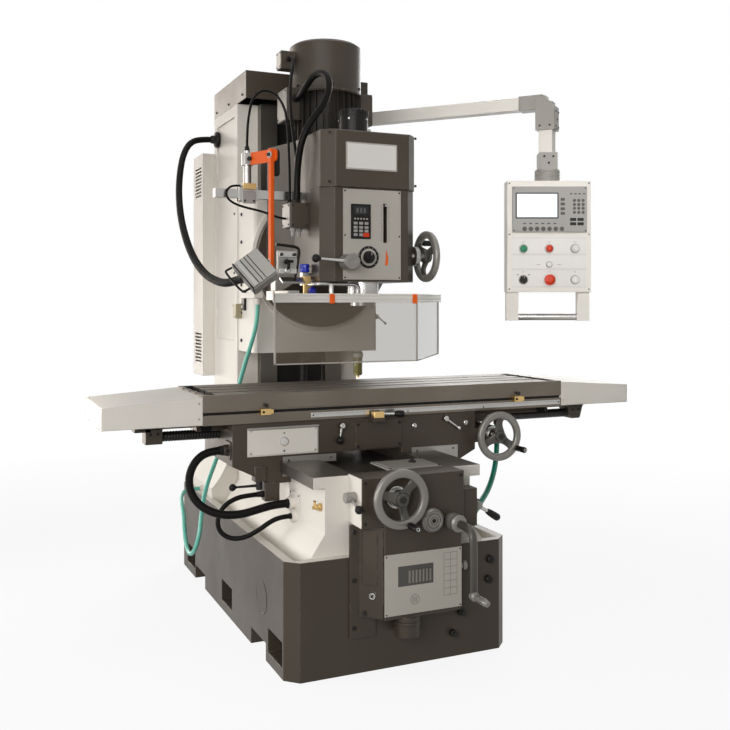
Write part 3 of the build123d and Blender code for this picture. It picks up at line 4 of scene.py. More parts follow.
import bmesh
import bpy
import numpy as np
from mathutils import Matrix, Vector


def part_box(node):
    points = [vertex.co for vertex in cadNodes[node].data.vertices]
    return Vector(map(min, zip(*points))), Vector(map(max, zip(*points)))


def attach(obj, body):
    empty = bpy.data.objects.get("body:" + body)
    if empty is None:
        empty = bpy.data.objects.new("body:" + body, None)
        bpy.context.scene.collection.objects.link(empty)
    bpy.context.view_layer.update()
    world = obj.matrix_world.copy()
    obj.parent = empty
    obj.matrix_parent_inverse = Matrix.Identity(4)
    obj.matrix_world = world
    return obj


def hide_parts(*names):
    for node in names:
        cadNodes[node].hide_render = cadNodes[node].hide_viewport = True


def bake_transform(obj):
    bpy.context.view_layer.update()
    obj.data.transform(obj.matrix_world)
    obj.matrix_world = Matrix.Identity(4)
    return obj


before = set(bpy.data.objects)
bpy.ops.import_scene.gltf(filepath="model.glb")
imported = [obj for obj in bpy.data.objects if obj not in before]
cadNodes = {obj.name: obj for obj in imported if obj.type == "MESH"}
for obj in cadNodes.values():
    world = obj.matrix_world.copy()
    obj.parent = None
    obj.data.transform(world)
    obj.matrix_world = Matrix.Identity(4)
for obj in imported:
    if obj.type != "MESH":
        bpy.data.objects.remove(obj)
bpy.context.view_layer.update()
print("frame loaded:", len(cadNodes), "nodes")

mm = 0.001


def linked(name, data):
    made = bpy.data.objects.new(name, data)
    bpy.context.scene.collection.objects.link(made)
    return made


# Camera at the photo's angle: level, with the frame dropped below the horizon
view = {"place": (-1.2802, -3.270, 1.150), "turn": -23.9, "lens": 45.07, "sensor": 36.0, "shift": -0.089,
        "far": 60.0}
cameraData = bpy.data.cameras.new("camera")
cameraData.lens = view["lens"]
cameraData.sensor_width = view["sensor"]
cameraData.shift_y = view["shift"]
cameraData.clip_end = view["far"]
camera = linked("camera", cameraData)
camera.location = view["place"]
camera.rotation_euler = (radians(90), 0, radians(view["turn"]))
bpy.context.scene.camera = camera


# Finishes: colours are linear, lengths in metres, and what a look leaves out is as in the plain one
plainLook = {"gloss": 0.5, "metal": 0.0, "grain": 1500, "bump": 0.0, "edge": 0.001}
looks = {
    "darkPaint": {
        "slot": "dark_paint", "color": (0.063, 0.049, 0.036), "tint": (0.052, 0.041, 0.030), "gloss": 0.26,
        "rough": 0.40, "grain": 520, "bump": 0.10, "wear": (0.30, 0.27, 0.23), "edge": 0.005},
    "whitePaint": {
        "slot": "white_paint", "color": (0.80, 0.758, 0.690), "tint": (0.755, 0.710, 0.640), "gloss": 0.05,
        "rough": 0.36, "grain": 520, "bump": 0.08, "wear": (0.62, 0.60, 0.57), "edge": 0.005},
    "creamPaint": {
        "slot": "cream_paint", "color": (0.76, 0.72, 0.66), "tint": (0.72, 0.68, 0.62), "gloss": 0.25,
        "rough": 0.38, "grain": 900, "bump": 0.05, "edge": 0.002},
    "greyPaint": {
        "slot": "light_grey_paint", "color": (0.330, 0.312, 0.280), "tint": (0.285, 0.268, 0.240), "gloss": 0.25,
        "rough": 0.34, "grain": 700, "bump": 0.08, "wear": (0.52, 0.50, 0.48), "edge": 0.002},
    "wheelGrey": {
        "slot": "light_grey_paint", "color": (0.235, 0.222, 0.202), "tint": (0.200, 0.188, 0.170), "gloss": 0.4,
        "metal": 0.35, "rough": 0.32, "grain": 700, "bump": 0.08, "wear": (0.50, 0.48, 0.46), "edge": 0.002},
    "castGrey": {
        "slot": "light_grey_paint", "color": (0.088, 0.081, 0.071), "tint": (0.070, 0.065, 0.057), "gloss": 0.3,
        "metal": 0.30, "rough": 0.34, "grain": 600, "bump": 0.10, "wear": (0.34, 0.32, 0.30), "edge": 0.002},
    "motorBlack": {
        "slot": "dark_paint", "color": (0.028, 0.024, 0.020), "tint": (0.022, 0.019, 0.016), "gloss": 0.10,
        "rough": 0.42, "grain": 520, "bump": 0.10, "edge": 0.002},
    "orangePaint": {
        "slot": "orange_paint", "color": (0.84, 0.120, 0.006), "tint": (0.74, 0.098, 0.005), "gloss": 0.3,
        "rough": 0.36, "grain": 700, "bump": 0.05, "edge": 0.0015},
    "groundSteel": {
        "slot": "ground_steel", "color": (0.172, 0.148, 0.120), "tint": (0.126, 0.107, 0.086), "metal": 0.85,
        "rough": 0.38, "grain": 240, "stretch": (0.03, 1, 1), "bump": 0.10, "wear": (0.42, 0.41, 0.40),
        "edge": 0.0015},
    "topSteel": {
        "slot": "ground_steel", "color": (0.200, 0.176, 0.145), "tint": (0.152, 0.133, 0.109), "metal": 0.3,
        "gloss": 0.12, "rough": 0.50, "grain": 240, "stretch": (0.03, 1, 1), "bump": 0.10},
    "wayedSteel": {
        "slot": "ground_steel", "color": (0.190, 0.172, 0.150), "tint": (0.142, 0.128, 0.110), "metal": 0.85,
        "rough": 0.36, "grain": 240, "stretch": (1, 0.03, 0.03), "bump": 0.10, "edge": 0.0015},
    "brightSteel": {
        "slot": "bright_steel", "color": (0.43, 0.42, 0.40), "tint": (0.36, 0.35, 0.335), "metal": 1.0,
        "rough": 0.26, "grain": 500, "bump": 0.05},
    "blackSteel": {
        "slot": "black_steel", "color": (0.030, 0.029, 0.028), "tint": (0.020, 0.019, 0.018), "metal": 0.5,
        "gloss": 0.25, "rough": 0.42, "grain": 500, "bump": 0.08},
    "brass": {
        "slot": "brass", "color": (0.60, 0.42, 0.18), "tint": (0.50, 0.345, 0.14), "metal": 1.0, "rough": 0.36,
        "grain": 420, "bump": 0.08},
    "lampMetal": {
        "slot": "lamp_aluminium", "color": (0.31, 0.297, 0.274), "tint": (0.255, 0.244, 0.226), "metal": 0.9,
        "rough": 0.40, "grain": 800, "bump": 0.12, "edge": 0.0015},
    "railMetal": {
        "slot": "lamp_aluminium", "color": (0.66, 0.635, 0.59), "tint": (0.60, 0.575, 0.53), "metal": 0.25,
        "gloss": 0.25, "rough": 0.42, "grain": 800, "bump": 0.06},
    "blackPlastic": {
        "slot": "black_plastic", "color": (0.012, 0.011, 0.010), "tint": (0.009, 0.008, 0.007), "gloss": 0.15,
        "rough": 0.34, "bump": 0.05},
    "greyPlastic": {
        "slot": "grey_plastic", "color": (0.345, 0.328, 0.308), "tint": (0.315, 0.300, 0.282), "gloss": 0.25,
        "rough": 0.45, "bump": 0.06, "edge": 0.002},
    "panelPlate": {
        "slot": "panel_plastic", "color": (0.45, 0.42, 0.37), "tint": (0.41, 0.38, 0.335), "gloss": 0.25,
        "rough": 0.42, "grain": 900, "stretch": (0.05, 1, 1), "bump": 0.03, "edge": 0.0008},
    "labelPlate": {
        "slot": "panel_plastic", "color": (0.55, 0.515, 0.455), "tint": (0.51, 0.478, 0.422), "gloss": 0.25,
        "rough": 0.42, "grain": 900, "bump": 0.03, "edge": 0.0008},
    "whitePlastic": {
        "slot": "cream_paint", "color": (0.74, 0.715, 0.675), "tint": (0.70, 0.675, 0.635), "gloss": 0.25,
        "rough": 0.30, "bump": 0.03},
    "inkGrey": {
        "slot": "grey_plastic", "color": (0.095, 0.091, 0.086), "tint": (0.080, 0.077, 0.073), "gloss": 0.25,
        "rough": 0.5, "bump": 0.02, "edge": 0.0004},
    "switchBeige": {
        "slot": "cream_paint", "color": (0.38, 0.33, 0.21), "tint": (0.34, 0.295, 0.185), "gloss": 0.3,
        "rough": 0.42, "grain": 1200, "bump": 0.05, "edge": 0.0015},
    "greenPlastic": {
        "slot": "green_plastic", "color": (0.016, 0.245, 0.110), "tint": (0.013, 0.210, 0.095), "gloss": 0.25,
        "rough": 0.28, "bump": 0.03},
    "redPlastic": {
        "slot": "red_plastic", "color": (0.66, 0.042, 0.007), "tint": (0.57, 0.036, 0.006), "gloss": 0.25,
        "rough": 0.28, "bump": 0.03},
    "bluePlastic": {
        "slot": "blue_plastic", "color": (0.020, 0.035, 0.50), "tint": (0.016, 0.028, 0.42), "rough": 0.26,
        "bump": 0.04},
    "displayGlass": {
        "slot": "grey_plastic", "color": (0.72, 0.78, 0.84), "tint": (0.66, 0.73, 0.80), "rough": 0.16,
        "edge": 0.0005, "glow": (0.75, 0.84, 0.95), "glowPower": 0.30},
    "darkGlass": {
        "slot": "black_plastic", "color": (0.030, 0.032, 0.034), "tint": (0.022, 0.024, 0.026), "gloss": 0.25,
        "rough": 0.10, "edge": 0.0005},
    "lampLens": {
        "slot": "lamp_aluminium", "color": (0.80, 0.80, 0.78), "tint": (0.74, 0.74, 0.72), "rough": 0.22,
        "grain": 260, "bump": 0.15},
    "clearPane": {
        "slot": "clear_pane", "color": (0.210, 0.173, 0.126), "tint": (0.190, 0.156, 0.114), "gloss": 0.12,
        "rough": 0.10, "edge": 0.0005, "alpha": 0.31},
    "oilBowl": {
        "slot": "oil_bowl", "color": (0.30, 0.27, 0.10), "tint": (0.25, 0.22, 0.08), "rough": 0.10,
        "edge": 0.0005, "clear": 0.5, "ior": 1.40},
    "blackRubber": {
        "slot": "black_rubber", "color": (0.009, 0.008, 0.007), "tint": (0.006, 0.0055, 0.005), "gloss": 0.07,
        "rough": 0.34, "grain": 700, "bump": 0.08, "edge": 0.0005},
    "tealRubber": {
        "slot": "teal_rubber", "color": (0.150, 0.500, 0.400), "tint": (0.105, 0.420, 0.330), "rough": 0.30,
        "grain": 700, "bump": 0.04, "edge": 0.0005},
    "greenRubber": {
        "slot": "green_rubber", "color": (0.006, 0.290, 0.180), "tint": (0.004, 0.230, 0.140), "rough": 0.32,
        "grain": 700, "bump": 0.04, "edge": 0.0005},
}
noise = {"patches": 4.0, "chips": 38.0, "bumpDepth": 0.0006}


def rgba(color):
    return (*color, 1.0)


def addNode(tree, kind, sockets=None, **settings):
    made = tree.nodes.new("ShaderNode" + kind)
    for key, value in settings.items():
        setattr(made, key, value)
    for key, value in (sockets or {}).items():
        if isinstance(value, bpy.types.NodeSocket):
            tree.links.new(value, made.inputs[key])
        else:
            made.inputs[key].default_value = value
    return made


def mathNode(tree, operation, first, second):
    return addNode(tree, "Math", {0: first, 1: second}, operation=operation).outputs[0]


def dot(tree, first, second):
    return addNode(tree, "VectorMath", {0: first, 1: second}, operation="DOT_PRODUCT").outputs["Value"]


def noiseFac(tree, coords, scale, detail):
    return addNode(tree, "TexNoise", {"Vector": coords, "Scale": scale, "Detail": detail}).outputs["Fac"]


def mixShader(tree, share, first, second):
    return addNode(tree, "MixShader", {0: share, 1: first, 2: second}).outputs[0]


def mixColor(tree, share, first, second):
    first, second = (c if isinstance(c, bpy.types.NodeSocket) else rgba(c) for c in (first, second))
    return addNode(tree, "Mix", {0: share, 6: first, 7: second}, data_type="RGBA").outputs[2]


def spread(tree, value, low, high, fromLow=0.3, fromHigh=0.7):
    limits = {"Value": value, "From Min": fromLow, "From Max": fromHigh, "To Min": low, "To Max": high}
    return addNode(tree, "MapRange", limits).outputs[0]


def surfaceShader(tree, look):
    coords = addNode(tree, "TexCoord").outputs["Object"]
    patches = noiseFac(tree, coords, noise["patches"], 6.0)
    drawn = addNode(tree, "Mapping", {"Vector": coords, "Scale": look.get("stretch", (1, 1, 1))}).outputs[0]
    grain = noiseFac(tree, drawn, look["grain"], 3.0)
    color = mixColor(tree, spread(tree, patches, 0.0, 1.0), look["color"], look["tint"])
    if "stretch" in look:
        color = mixColor(tree, spread(tree, grain, 0.0, 0.5), color, look["tint"])
    rounded = addNode(tree, "Bevel", {"Radius": look["edge"]}, samples=6).outputs[0]
    if "wear" in look:
        # paint thins where the rounded normal leaves the face's own, in broken patches
        turn = dot(tree, rounded, addNode(tree, "NewGeometry").outputs["Normal"])
        rubbed = spread(tree, turn, 1.0, 0.0, 0.74, 0.985)
        chips = spread(tree, noiseFac(tree, coords, noise["chips"], 6.0), 0.0, 0.8, 0.45, 0.70)
        color = mixColor(tree, mathNode(tree, "MULTIPLY", rubbed, chips), color, look["wear"])
    sockets = {
        "Base Color": color, "Metallic": look["metal"], "Specular IOR Level": look["gloss"], "Normal": rounded,
        "Roughness": spread(tree, patches, look["rough"] - 0.05, look["rough"] + 0.07)}
    if look["bump"]:
        relief = {"Strength": look["bump"], "Distance": noise["bumpDepth"], "Height": grain, "Normal": rounded}
        sockets["Normal"] = addNode(tree, "Bump", relief).outputs[0]
    if "alpha" in look:
        sockets["Alpha"] = look["alpha"]
    if "clear" in look:
        sockets.update({"Transmission Weight": look["clear"], "IOR": look["ior"]})
    if "glow" in look:
        sockets.update({"Emission Color": rgba(look["glow"]), "Emission Strength": look["glowPower"]})
    return addNode(tree, "BsdfPrincipled", sockets).outputs[0]


def insideMask(tree, boxes):
    # 1 where a point lies past every plane of one box: its dot product with the normal is over the offset
    coords = addNode(tree, "TexCoord").outputs["Object"]
    total = None
    for planes in boxes:
        inside = None
        for normal, offset in planes:
            past = mathNode(tree, "GREATER_THAN", dot(tree, coords, normal), offset)
            inside = past if inside is None else mathNode(tree, "MULTIPLY", inside, past)
        total = inside if total is None else mathNode(tree, "MAXIMUM", total, inside)
    return total


def boxPlanes(low, high):
    planes = []
    for axis, side in enumerate(np.eye(3)):
        if low[axis] is not None:
            planes.append((side, low[axis]))
        if high[axis] is not None:
            planes.append((-side, -high[axis]))
    return planes


finishes = {}


def makeFinish(name, baseLook, zones=()):
    made = bpy.data.materials.new(name)
    made.use_nodes = True
    tree = made.node_tree
    tree.nodes.clear()
    shader = surfaceShader(tree, {**plainLook, **looks[baseLook]})
    for look, boxes in zones:
        other = surfaceShader(tree, {**plainLook, **looks[look]})
        shader = mixShader(tree, insideMask(tree, boxes), shader, other)
    tree.links.new(shader, addNode(tree, "OutputMaterial").inputs["Surface"])
    finishes[name] = made


for lookName in looks:
    makeFinish(lookName, lookName)

# Directions along and across the swung-out arm and the pendant's face
armX, armY = np.array([(0.6471, -0.7624, 0.0), (0.7624, 0.6471, 0.0)])
pendantX, pendantY = np.array([(0.91425, -0.40514, 0.0), (0.40514, 0.91425, 0.0)])

# Castings in two colours or with ground ways, and painted shade in the table's end troughs: zones are boxes in
# metres, free where a side has no limit
free = None
everywhere = (free, free, free)
twoTone = {
    "basePaint": ("darkPaint", [("whitePaint", [
        boxPlanes((-0.3865, -0.686, 0.3195), (0.3865, 0.686, free))
        + [((-1, 1, 0), -1.0335), ((1, 1, 0), -1.0335)]])]),
    "bedPaint": ("whitePaint", [("wayedSteel", [boxPlanes((free, -0.6545, 0.5695), everywhere)])]),
    "columnPaint": ("whitePaint", [
        ("wayedSteel", [boxPlanes((-0.176, free, 0.70), (0.176, 0.3003, free))]),
        ("blackSteel", [boxPlanes((-0.1045, free, 0.70), (0.1045, 0.3012, 1.90))])]),
    "feedBoxPaint": ("darkPaint", [
        ("whitePaint", [boxPlanes((free, free, 0.4615), (-0.1765, free, free))])]),
    "armPaint": ("creamPaint", [("greyPaint", [[(armX, 0.6243), ((0, 0, 1), 1.8245)]])]),
    "casePaint": ("creamPaint", [
        ("greyPaint", [boxPlanes((free, free, 1.6212), everywhere)]),
        ("brightSteel", [[(pendantX, 0.7649), (-pendantX, -0.9979), ((0, 0, -1), -1.1815)]])]),
    "motorPaint": ("darkPaint", [("motorBlack", [boxPlanes((-0.1256, free, 1.742), (0.1256, free, 1.924))])]),
    "tableSteel": ("groundSteel", [
        ("topSteel", [boxPlanes((free, free, 0.8390), everywhere)]),
        # The end troughs take the near-black steel: painted shade in the recesses
        ("blackSteel", [boxPlanes((-0.5465, -0.3395, free), (-0.5095, 0.0095, 0.8388)),
                        boxPlanes((0.7855, -0.3395, free), (0.8225, 0.0095, 0.8388))])]),
    "platePaint": ("darkPaint", [("whitePaint", [boxPlanes(everywhere, (-0.1, free, free))])]),
}
for toneName, (baseLook, zones) in twoTone.items():
    makeFinish(toneName, baseLook, zones)

nodesInFinish = {
    "basePaint": ["base"], "bedPaint": ["bed"], "columnPaint": ["column"], "feedBoxPaint": ["feed_box"],
    "platePaint": ["saddle_covers"], "tableSteel": ["table"], "motorPaint": ["spindle_motor"],
    "armPaint": ["pendant_arm"], "casePaint": ["pendant_case"],
    "darkPaint": ["column_cap", "saddle", "head_housing", "head_cover", "junction_box"],
    "whitePaint": ["electric_cabinet", "cabinet_door", "table_covers", "head_slide"],
    "brightSteel": ["coolant_valve", "guard_bar", "quill", "spindle"],
    "creamPaint": ["pendant_bracket"], "brass": ["trip_dogs"], "panelPlate": ["control_panel"],
    "blackPlastic": ["drawbar_cap"], "clearPane": ["guard_panes"], "greyPlastic": ["readout"],
}
for finishName, nodeNames in nodesInFinish.items():
    for nodeName in nodeNames:
        materials = cadNodes[nodeName].data.materials
        materials.clear()
        materials.append(finishes[finishName])
print("finishes made:", len(finishes))


# Surfaces: each gives its points in millimetres and its faces as lists of indices
def axesAt(origin, z, x):
    z = np.array(z, float) / np.linalg.norm(z)
    x = np.array(x, float) - z * (z @ np.array(x, float))
    x = x / np.linalg.norm(x)
    return np.array([x, np.cross(z, x), z, origin], float)


def facing(z, x):
    return lambda *origin: axesAt(origin, z, x)


front, backward = facing((0, -1, 0), (1, 0, 0)), facing((0, 1, 0), (-1, 0, 0))
leftward, rightward = facing((-1, 0, 0), (0, -1, 0)), facing((1, 0, 0), (0, 1, 0))
upward, downward = facing((0, 0, 1), (1, 0, 0)), facing((0, 0, -1), (1, 0, 0))


def moved(axes, x=0.0, y=0.0, z=0.0):
    shifted = axes.copy()
    shifted[3] = axes[3] + np.array((x, y, z)) @ axes[:3]
    return shifted


def leaning(axes, angle, height=0.0):
    # axes that look along an angle in the plane of the given ones
    turn = radians(angle)
    return axesAt(moved(axes, z=height)[3], axes[0] * cos(turn) + axes[1] * sin(turn), axes[2])


def around(axes, angles, height, radius):
    # axes that look outwards from a circle about the z axis
    return [moved(leaning(axes, angle, height), z=radius) for angle in angles]


def place(local, axes):
    return local.reshape(-1, 3) @ axes[:3] + axes[3]


def gridFaces(rows, columns, closeRows=False):
    # quads between neighbouring rows and columns, with the columns closed into rings
    i, j = np.meshgrid(np.arange(rows if closeRows else rows - 1), np.arange(columns), indexing="ij")
    far, side = (i + 1) % rows, (j + 1) % columns
    quads = np.stack([i * columns + j, i * columns + side, far * columns + side, far * columns + j], -1)
    return list(quads.reshape(-1, 4))


def ringStack(rings, axes, capped=True):
    # rows of rings joined by quads, with a flat face over the first and the last
    rings = np.asarray(rings)
    rows, columns = rings.shape[:2]
    faces = gridFaces(rows, columns, not capped)
    if capped:
        faces += [np.arange(columns)[::-1], np.arange(columns) + (rows - 1) * columns]
    return place(rings, axes), faces


def circle(radius, steps):
    angle = np.arange(steps) * 2 * pi / steps
    return np.stack([np.cos(angle), np.sin(angle)], -1) * radius


def turned(profile, axes, steps=40, capped=True):
    # radius and height pairs carried round the z axis
    loop = circle(1.0, steps)
    rings = [np.column_stack([radius * loop, np.full(steps, height)]) for radius, height in profile]
    return ringStack(rings, axes, capped)


axisGap = 0.05


def shut(profile, axes, steps=28):
    # the same with its last height carried in to the axis
    return turned([*profile, (axisGap, profile[-1][1])], axes, steps)


def ring(axes, inner, outer, low, high, steps):
    return turned([(inner, low), (inner, high), (outer, high), (outer, low)], axes, steps, capped=False)


def band(axes, radius, out, low, high, slope, steps):
    # a raised ring with sloped sides
    profile = [(radius, low), (radius + out, low + slope), (radius + out, high - slope), (radius, high)]
    return turned(profile, axes, steps, capped=False)


def roundedOutline(width, height, corner, arc=5):
    # four quarter circles about the corners' centres
    angle = np.concatenate([np.linspace(k, k + 1, arc) for k in range(4)]) * pi / 2
    signX = np.repeat([1, -1, -1, 1], arc)
    signY = np.repeat([1, 1, -1, -1], arc)
    return np.stack([signX * (width / 2 - corner) + corner * np.cos(angle),
                     signY * (height / 2 - corner) + corner * np.sin(angle)], -1)


def prism(outline, axes, thick):
    # a flat outline carried straight up the z axis
    return ringStack([np.column_stack([outline, np.full(len(outline), z)]) for z in (0, thick)], axes)


def slab(axes, width, height, thick, corner=2.0, edge=1.0):
    # a rounded rectangle carried up the z axis and drawn in over a rounded edge
    corner = min(corner, width / 2.01, height / 2.01)
    edge = min(edge, thick * 0.5, corner)
    flat = min(1.4 * edge, 0.45 * min(width, height))  # one more ring keeps the top's shading flat
    steps = ((0, 0), (thick - edge, 0), (thick - 0.3 * edge, 0.3 * edge), (thick, edge), (thick, flat))
    rows = []
    for rise, inset in steps:
        outline = roundedOutline(width - 2 * inset, height - 2 * inset, max(corner - inset, 0.02))
        rows.append(np.column_stack([outline, np.full(len(outline), rise)]))
    return ringStack(rows, axes)


def strip(axes, width, height, thick):
    # a plain thin bar for marks that repeat
    return prism(np.array([(-1, -1), (1, -1), (1, 1), (-1, 1)]) * (width / 2, height / 2), axes, thick)


def carried(path, section):
    # a closed section, one for all rows or one each, carried on frames that turn as little as they can
    path = np.asarray(path, float)
    tangent = np.gradient(path, axis=0)
    tangent /= np.linalg.norm(tangent, axis=1)[:, None]
    side = np.cross(tangent[0], (0, 0, 1) if abs(tangent[0][2]) < 0.9 else (1, 0, 0))
    sides = [side / np.linalg.norm(side)]
    for t in tangent[1:]:
        side = sides[-1] - t * (sides[-1] @ t)
        sides.append(side / np.linalg.norm(side))
    sides = np.array(sides)
    ups = np.cross(sides, tangent)
    section = np.broadcast_to(section, (len(path), *np.shape(section)[-2:]))
    rings = path[:, None] + section[..., :1] * sides[:, None] + section[..., 1:] * ups[:, None]
    return ringStack(rings, upward(0, 0, 0))


def eased(points, rounds=3):
    # a line through its points with every corner cut at a quarter of its runs, over and over
    line = np.array(points, float)
    for k in range(rounds):
        near, far = line[:-1] * 0.75 + line[1:] * 0.25, line[:-1] * 0.25 + line[1:] * 0.75
        line = np.concatenate([line[:1], np.stack([near, far], 1).reshape(-1, 3), line[-1:]])
    return line


def tube(points, radius, sides=14):
    # a round bar along an eased line
    return carried(eased(points), circle(radius, sides))


def ballProfile(radius, middle, start, rows=13):
    # an arc from an angle below the middle up to the axis
    angle = np.radians(np.linspace(start, 90, rows))
    return [(max(radius * cos(a), axisGap), middle + radius * sin(a)) for a in angle]


def screw(axes, radius):
    # cap screw: rounded rim and a socket
    rise = 0.7 * radius
    return shut([(radius, 0), (radius, 0.75 * rise), (0.86 * radius, rise), (0.5 * radius, rise),
                 (0.45 * radius, 0.35 * rise)], axes, 14)


def screwsAt(axes, spots, radius):
    return [screw(moved(axes, x, y), radius) for x, y in spots]


def cornerSpots(width, height):
    return [(x * width / 2, y * height / 2) for x in (-1, 1) for y in (-1, 1)]


def piece(name, body, parts, replaced=(), sharp=38):
    # one object from lists of surfaces under their finishes
    surfaces = [surface for group in parts.values() for surface in group]
    starts = np.cumsum([0] + [len(spots) for spots, sides in surfaces])
    points = np.concatenate([spots for spots, sides in surfaces]) * mm
    faces = [(face + start).tolist() for (spots, sides), start in zip(surfaces, starts) for face in sides]
    counts = [sum(len(sides) for spots, sides in group) for group in parts.values()]
    marks = np.repeat(np.arange(len(parts)), counts)
    mesh = bpy.data.meshes.new(name)
    mesh.from_pydata(points.tolist(), [], faces)
    mesh.polygons.foreach_set("material_index", marks.astype(np.int32))
    for finish in parts:
        mesh.materials.append(finishes[finish])
    shape = bmesh.new()
    shape.from_mesh(mesh)
    bmesh.ops.remove_doubles(shape, verts=shape.verts, dist=1e-6)
    bmesh.ops.recalc_face_normals(shape, faces=shape.faces)
    shape.to_mesh(mesh)
    shape.free()
    mesh.polygons.foreach_set("use_smooth", np.ones(len(mesh.polygons), bool))
    mesh.set_sharp_from_angle(angle=radians(sharp))
    thing = linked(name, mesh)
    if body:
        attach(thing, body)
    looks[next(iter(parts))]["slot"]
    if replaced:
        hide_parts(*replaced)
    return thing


# Faces that trim stands on: x to the right and y up on the front ones
coverFront, panelFront, tableFront = front(0, -448.8, 0), front(0, -443.8, 0), front(0, -355, 0)
saddleFront, feedFront, baseFront = front(0, -345, 0), front(0, -755.5, 0), front(0, -687.5, 0)
castingLeft, castingRight = leftward(-256, 0, 0), rightward(256, 0, 0)

# Cords: each follows its own spline, in metres
cords = {
    "saddleConduit": {
        "node": "saddle_conduit", "body": "machine_base", "other": "saddle", "finish": "blackRubber",
        "diameter": 0.028, "ribs": 0.0065, "points": [
            (-0.481, -0.300, 0.650), (-0.530, -0.300, 0.650), (-0.574, -0.306, 0.625), (-0.599, -0.316, 0.580),
            (-0.599, -0.328, 0.529), (-0.573, -0.341, 0.485), (-0.528, -0.353, 0.457), (-0.476, -0.362, 0.446),
            (-0.424, -0.367, 0.449), (-0.372, -0.370, 0.461), (-0.324, -0.370, 0.470), (-0.276, -0.370, 0.470)]},
    "saddleCable": {
        "node": "saddle_cable", "body": "machine_base", "other": "saddle", "finish": "blackRubber",
        "diameter": 0.016, "points": [
            (-0.350, -0.330, 0.500), (-0.398, -0.330, 0.500), (-0.444, -0.328, 0.494), (-0.485, -0.326, 0.472),
            (-0.508, -0.326, 0.432), (-0.503, -0.332, 0.390), (-0.470, -0.346, 0.365), (-0.426, -0.364, 0.368),
            (-0.382, -0.382, 0.394), (-0.346, -0.396, 0.422), (-0.312, -0.400, 0.434), (-0.276, -0.400, 0.434)]},
    "coolantHose": {
        "node": "coolant_hose", "body": "machine_base", "other": "head_slide", "finish": "tealRubber",
        "diameter": 0.016, "points": [
            (-0.273, -0.0145, 1.133), (-0.273, -0.0145, 1.072), (-0.292, 0.010, 0.980), (-0.300, 0.066, 0.900),
            (-0.312, 0.112, 0.810), (-0.330, 0.136, 0.710), (-0.360, 0.140, 0.610), (-0.404, 0.122, 0.520),
            (-0.446, 0.084, 0.440), (-0.470, 0.040, 0.364), (-0.484, 0.012, 0.296), (-0.496, 0.030, 0.236),
            (-0.502, 0.084, 0.206), (-0.502, 0.146, 0.226), (-0.496, 0.204, 0.274), (-0.486, 0.260, 0.320),
            (-0.482, 0.312, 0.346), (-0.474, 0.358, 0.363), (-0.456, 0.402, 0.375), (-0.428, 0.4205, 0.380),
            (-0.385, 0.4205, 0.380)]},
    "drainHose": {
        "node": "drain_hose", "body": "machine_base", "other": "saddle", "finish": "greenRubber",
        "diameter": 0.020, "points": [
            (0.611, -0.255, 0.673), (0.611, -0.255, 0.630), (0.602, -0.270, 0.578), (0.576, -0.302, 0.528),
            (0.536, -0.344, 0.484), (0.484, -0.394, 0.450), (0.430, -0.442, 0.430), (0.384, -0.480, 0.412),
            (0.352, -0.504, 0.382), (0.338, -0.514, 0.346)]},
    "motorConduit": {
        "node": "motor_conduit", "body": "head", "finish": "blackRubber", "diameter": 0.024, "points": [
            (-0.1395, -0.0598, 1.900), (-0.1395, -0.1118, 1.900), (-0.136, -0.162, 1.924), (-0.126, -0.208, 1.952),
            (-0.112, -0.258, 1.956), (-0.104, -0.302, 1.930), (-0.110, -0.324, 1.876), (-0.136, -0.328, 1.818),
            (-0.176, -0.324, 1.768), (-0.206, -0.312, 1.706), (-0.212, -0.290, 1.636), (-0.210, -0.2698, 1.566),
            (-0.210, -0.2698, 1.486)]},
    "switchCable": {
        "node": "switch_cable", "body": "head", "finish": "blackRubber", "diameter": 0.009, "points": [
            (-0.368, -0.1998, 1.6683), (-0.368, -0.1998, 1.738), (-0.360, -0.1968, 1.802), (-0.346, -0.1938, 1.858),
            (-0.306, -0.1918, 1.892), (-0.260, -0.1958, 1.876), (-0.232, -0.2058, 1.830), (-0.226, -0.2198, 1.764),
            (-0.226, -0.2298, 1.680), (-0.226, -0.2418, 1.590), (-0.226, -0.2418, 1.486)]},
    "cowlCable": {
        "body": "head", "finish": "blackRubber", "diameter": 0.011, "points": [
            (-0.158, -0.0305, 2.050), (-0.158, -0.078, 2.050), (-0.168, -0.116, 2.016), (-0.190, -0.150, 1.950),
            (-0.208, -0.190, 1.840), (-0.204, -0.222, 1.720), (-0.194, -0.238, 1.600), (-0.194, -0.238, 1.486)]},
    "sensorCable": {
        "body": "head", "finish": "blackRubber", "diameter": 0.008, "points": [
            (-0.398, -0.221, 1.543), (-0.424, -0.221, 1.544), (-0.446, -0.222, 1.530), (-0.450, -0.226, 1.504),
            (-0.430, -0.232, 1.482), (-0.390, -0.240, 1.468), (-0.340, -0.248, 1.458), (-0.298, -0.256, 1.444),
            (-0.272, -0.2598, 1.434), (-0.247, -0.2598, 1.432)]},
}


def splinePoints(points):
    curve = bpy.data.curves.new("route", "CURVE")
    curve.dimensions = "3D"
    spline = curve.splines.new("NURBS")
    spline.points.add(len(points) - 1)
    spline.points.foreach_set("co", np.column_stack([points, np.ones(len(points))]).ravel())
    spline.order_u = 3
    spline.use_endpoint_u = True
    spline.resolution_u = 24
    holder = linked("route", curve)
    bpy.context.view_layer.update()
    mesh = bpy.data.meshes.new_from_object(holder)
    found = np.zeros(len(mesh.vertices) * 3)
    mesh.vertices.foreach_get("co", found)
    bpy.data.objects.remove(holder)
    bpy.data.meshes.remove(mesh)
    return found.reshape(-1, 3)


def evenly(path, count):
    # the same line with its points a like distance apart
    along = np.concatenate([[0], np.cumsum(np.linalg.norm(np.diff(path, axis=0), axis=1))])
    wanted = np.linspace(0, along[-1], count)
    return np.stack([np.interp(wanted, along, path[:, k]) for k in range(3)], -1), along[-1]


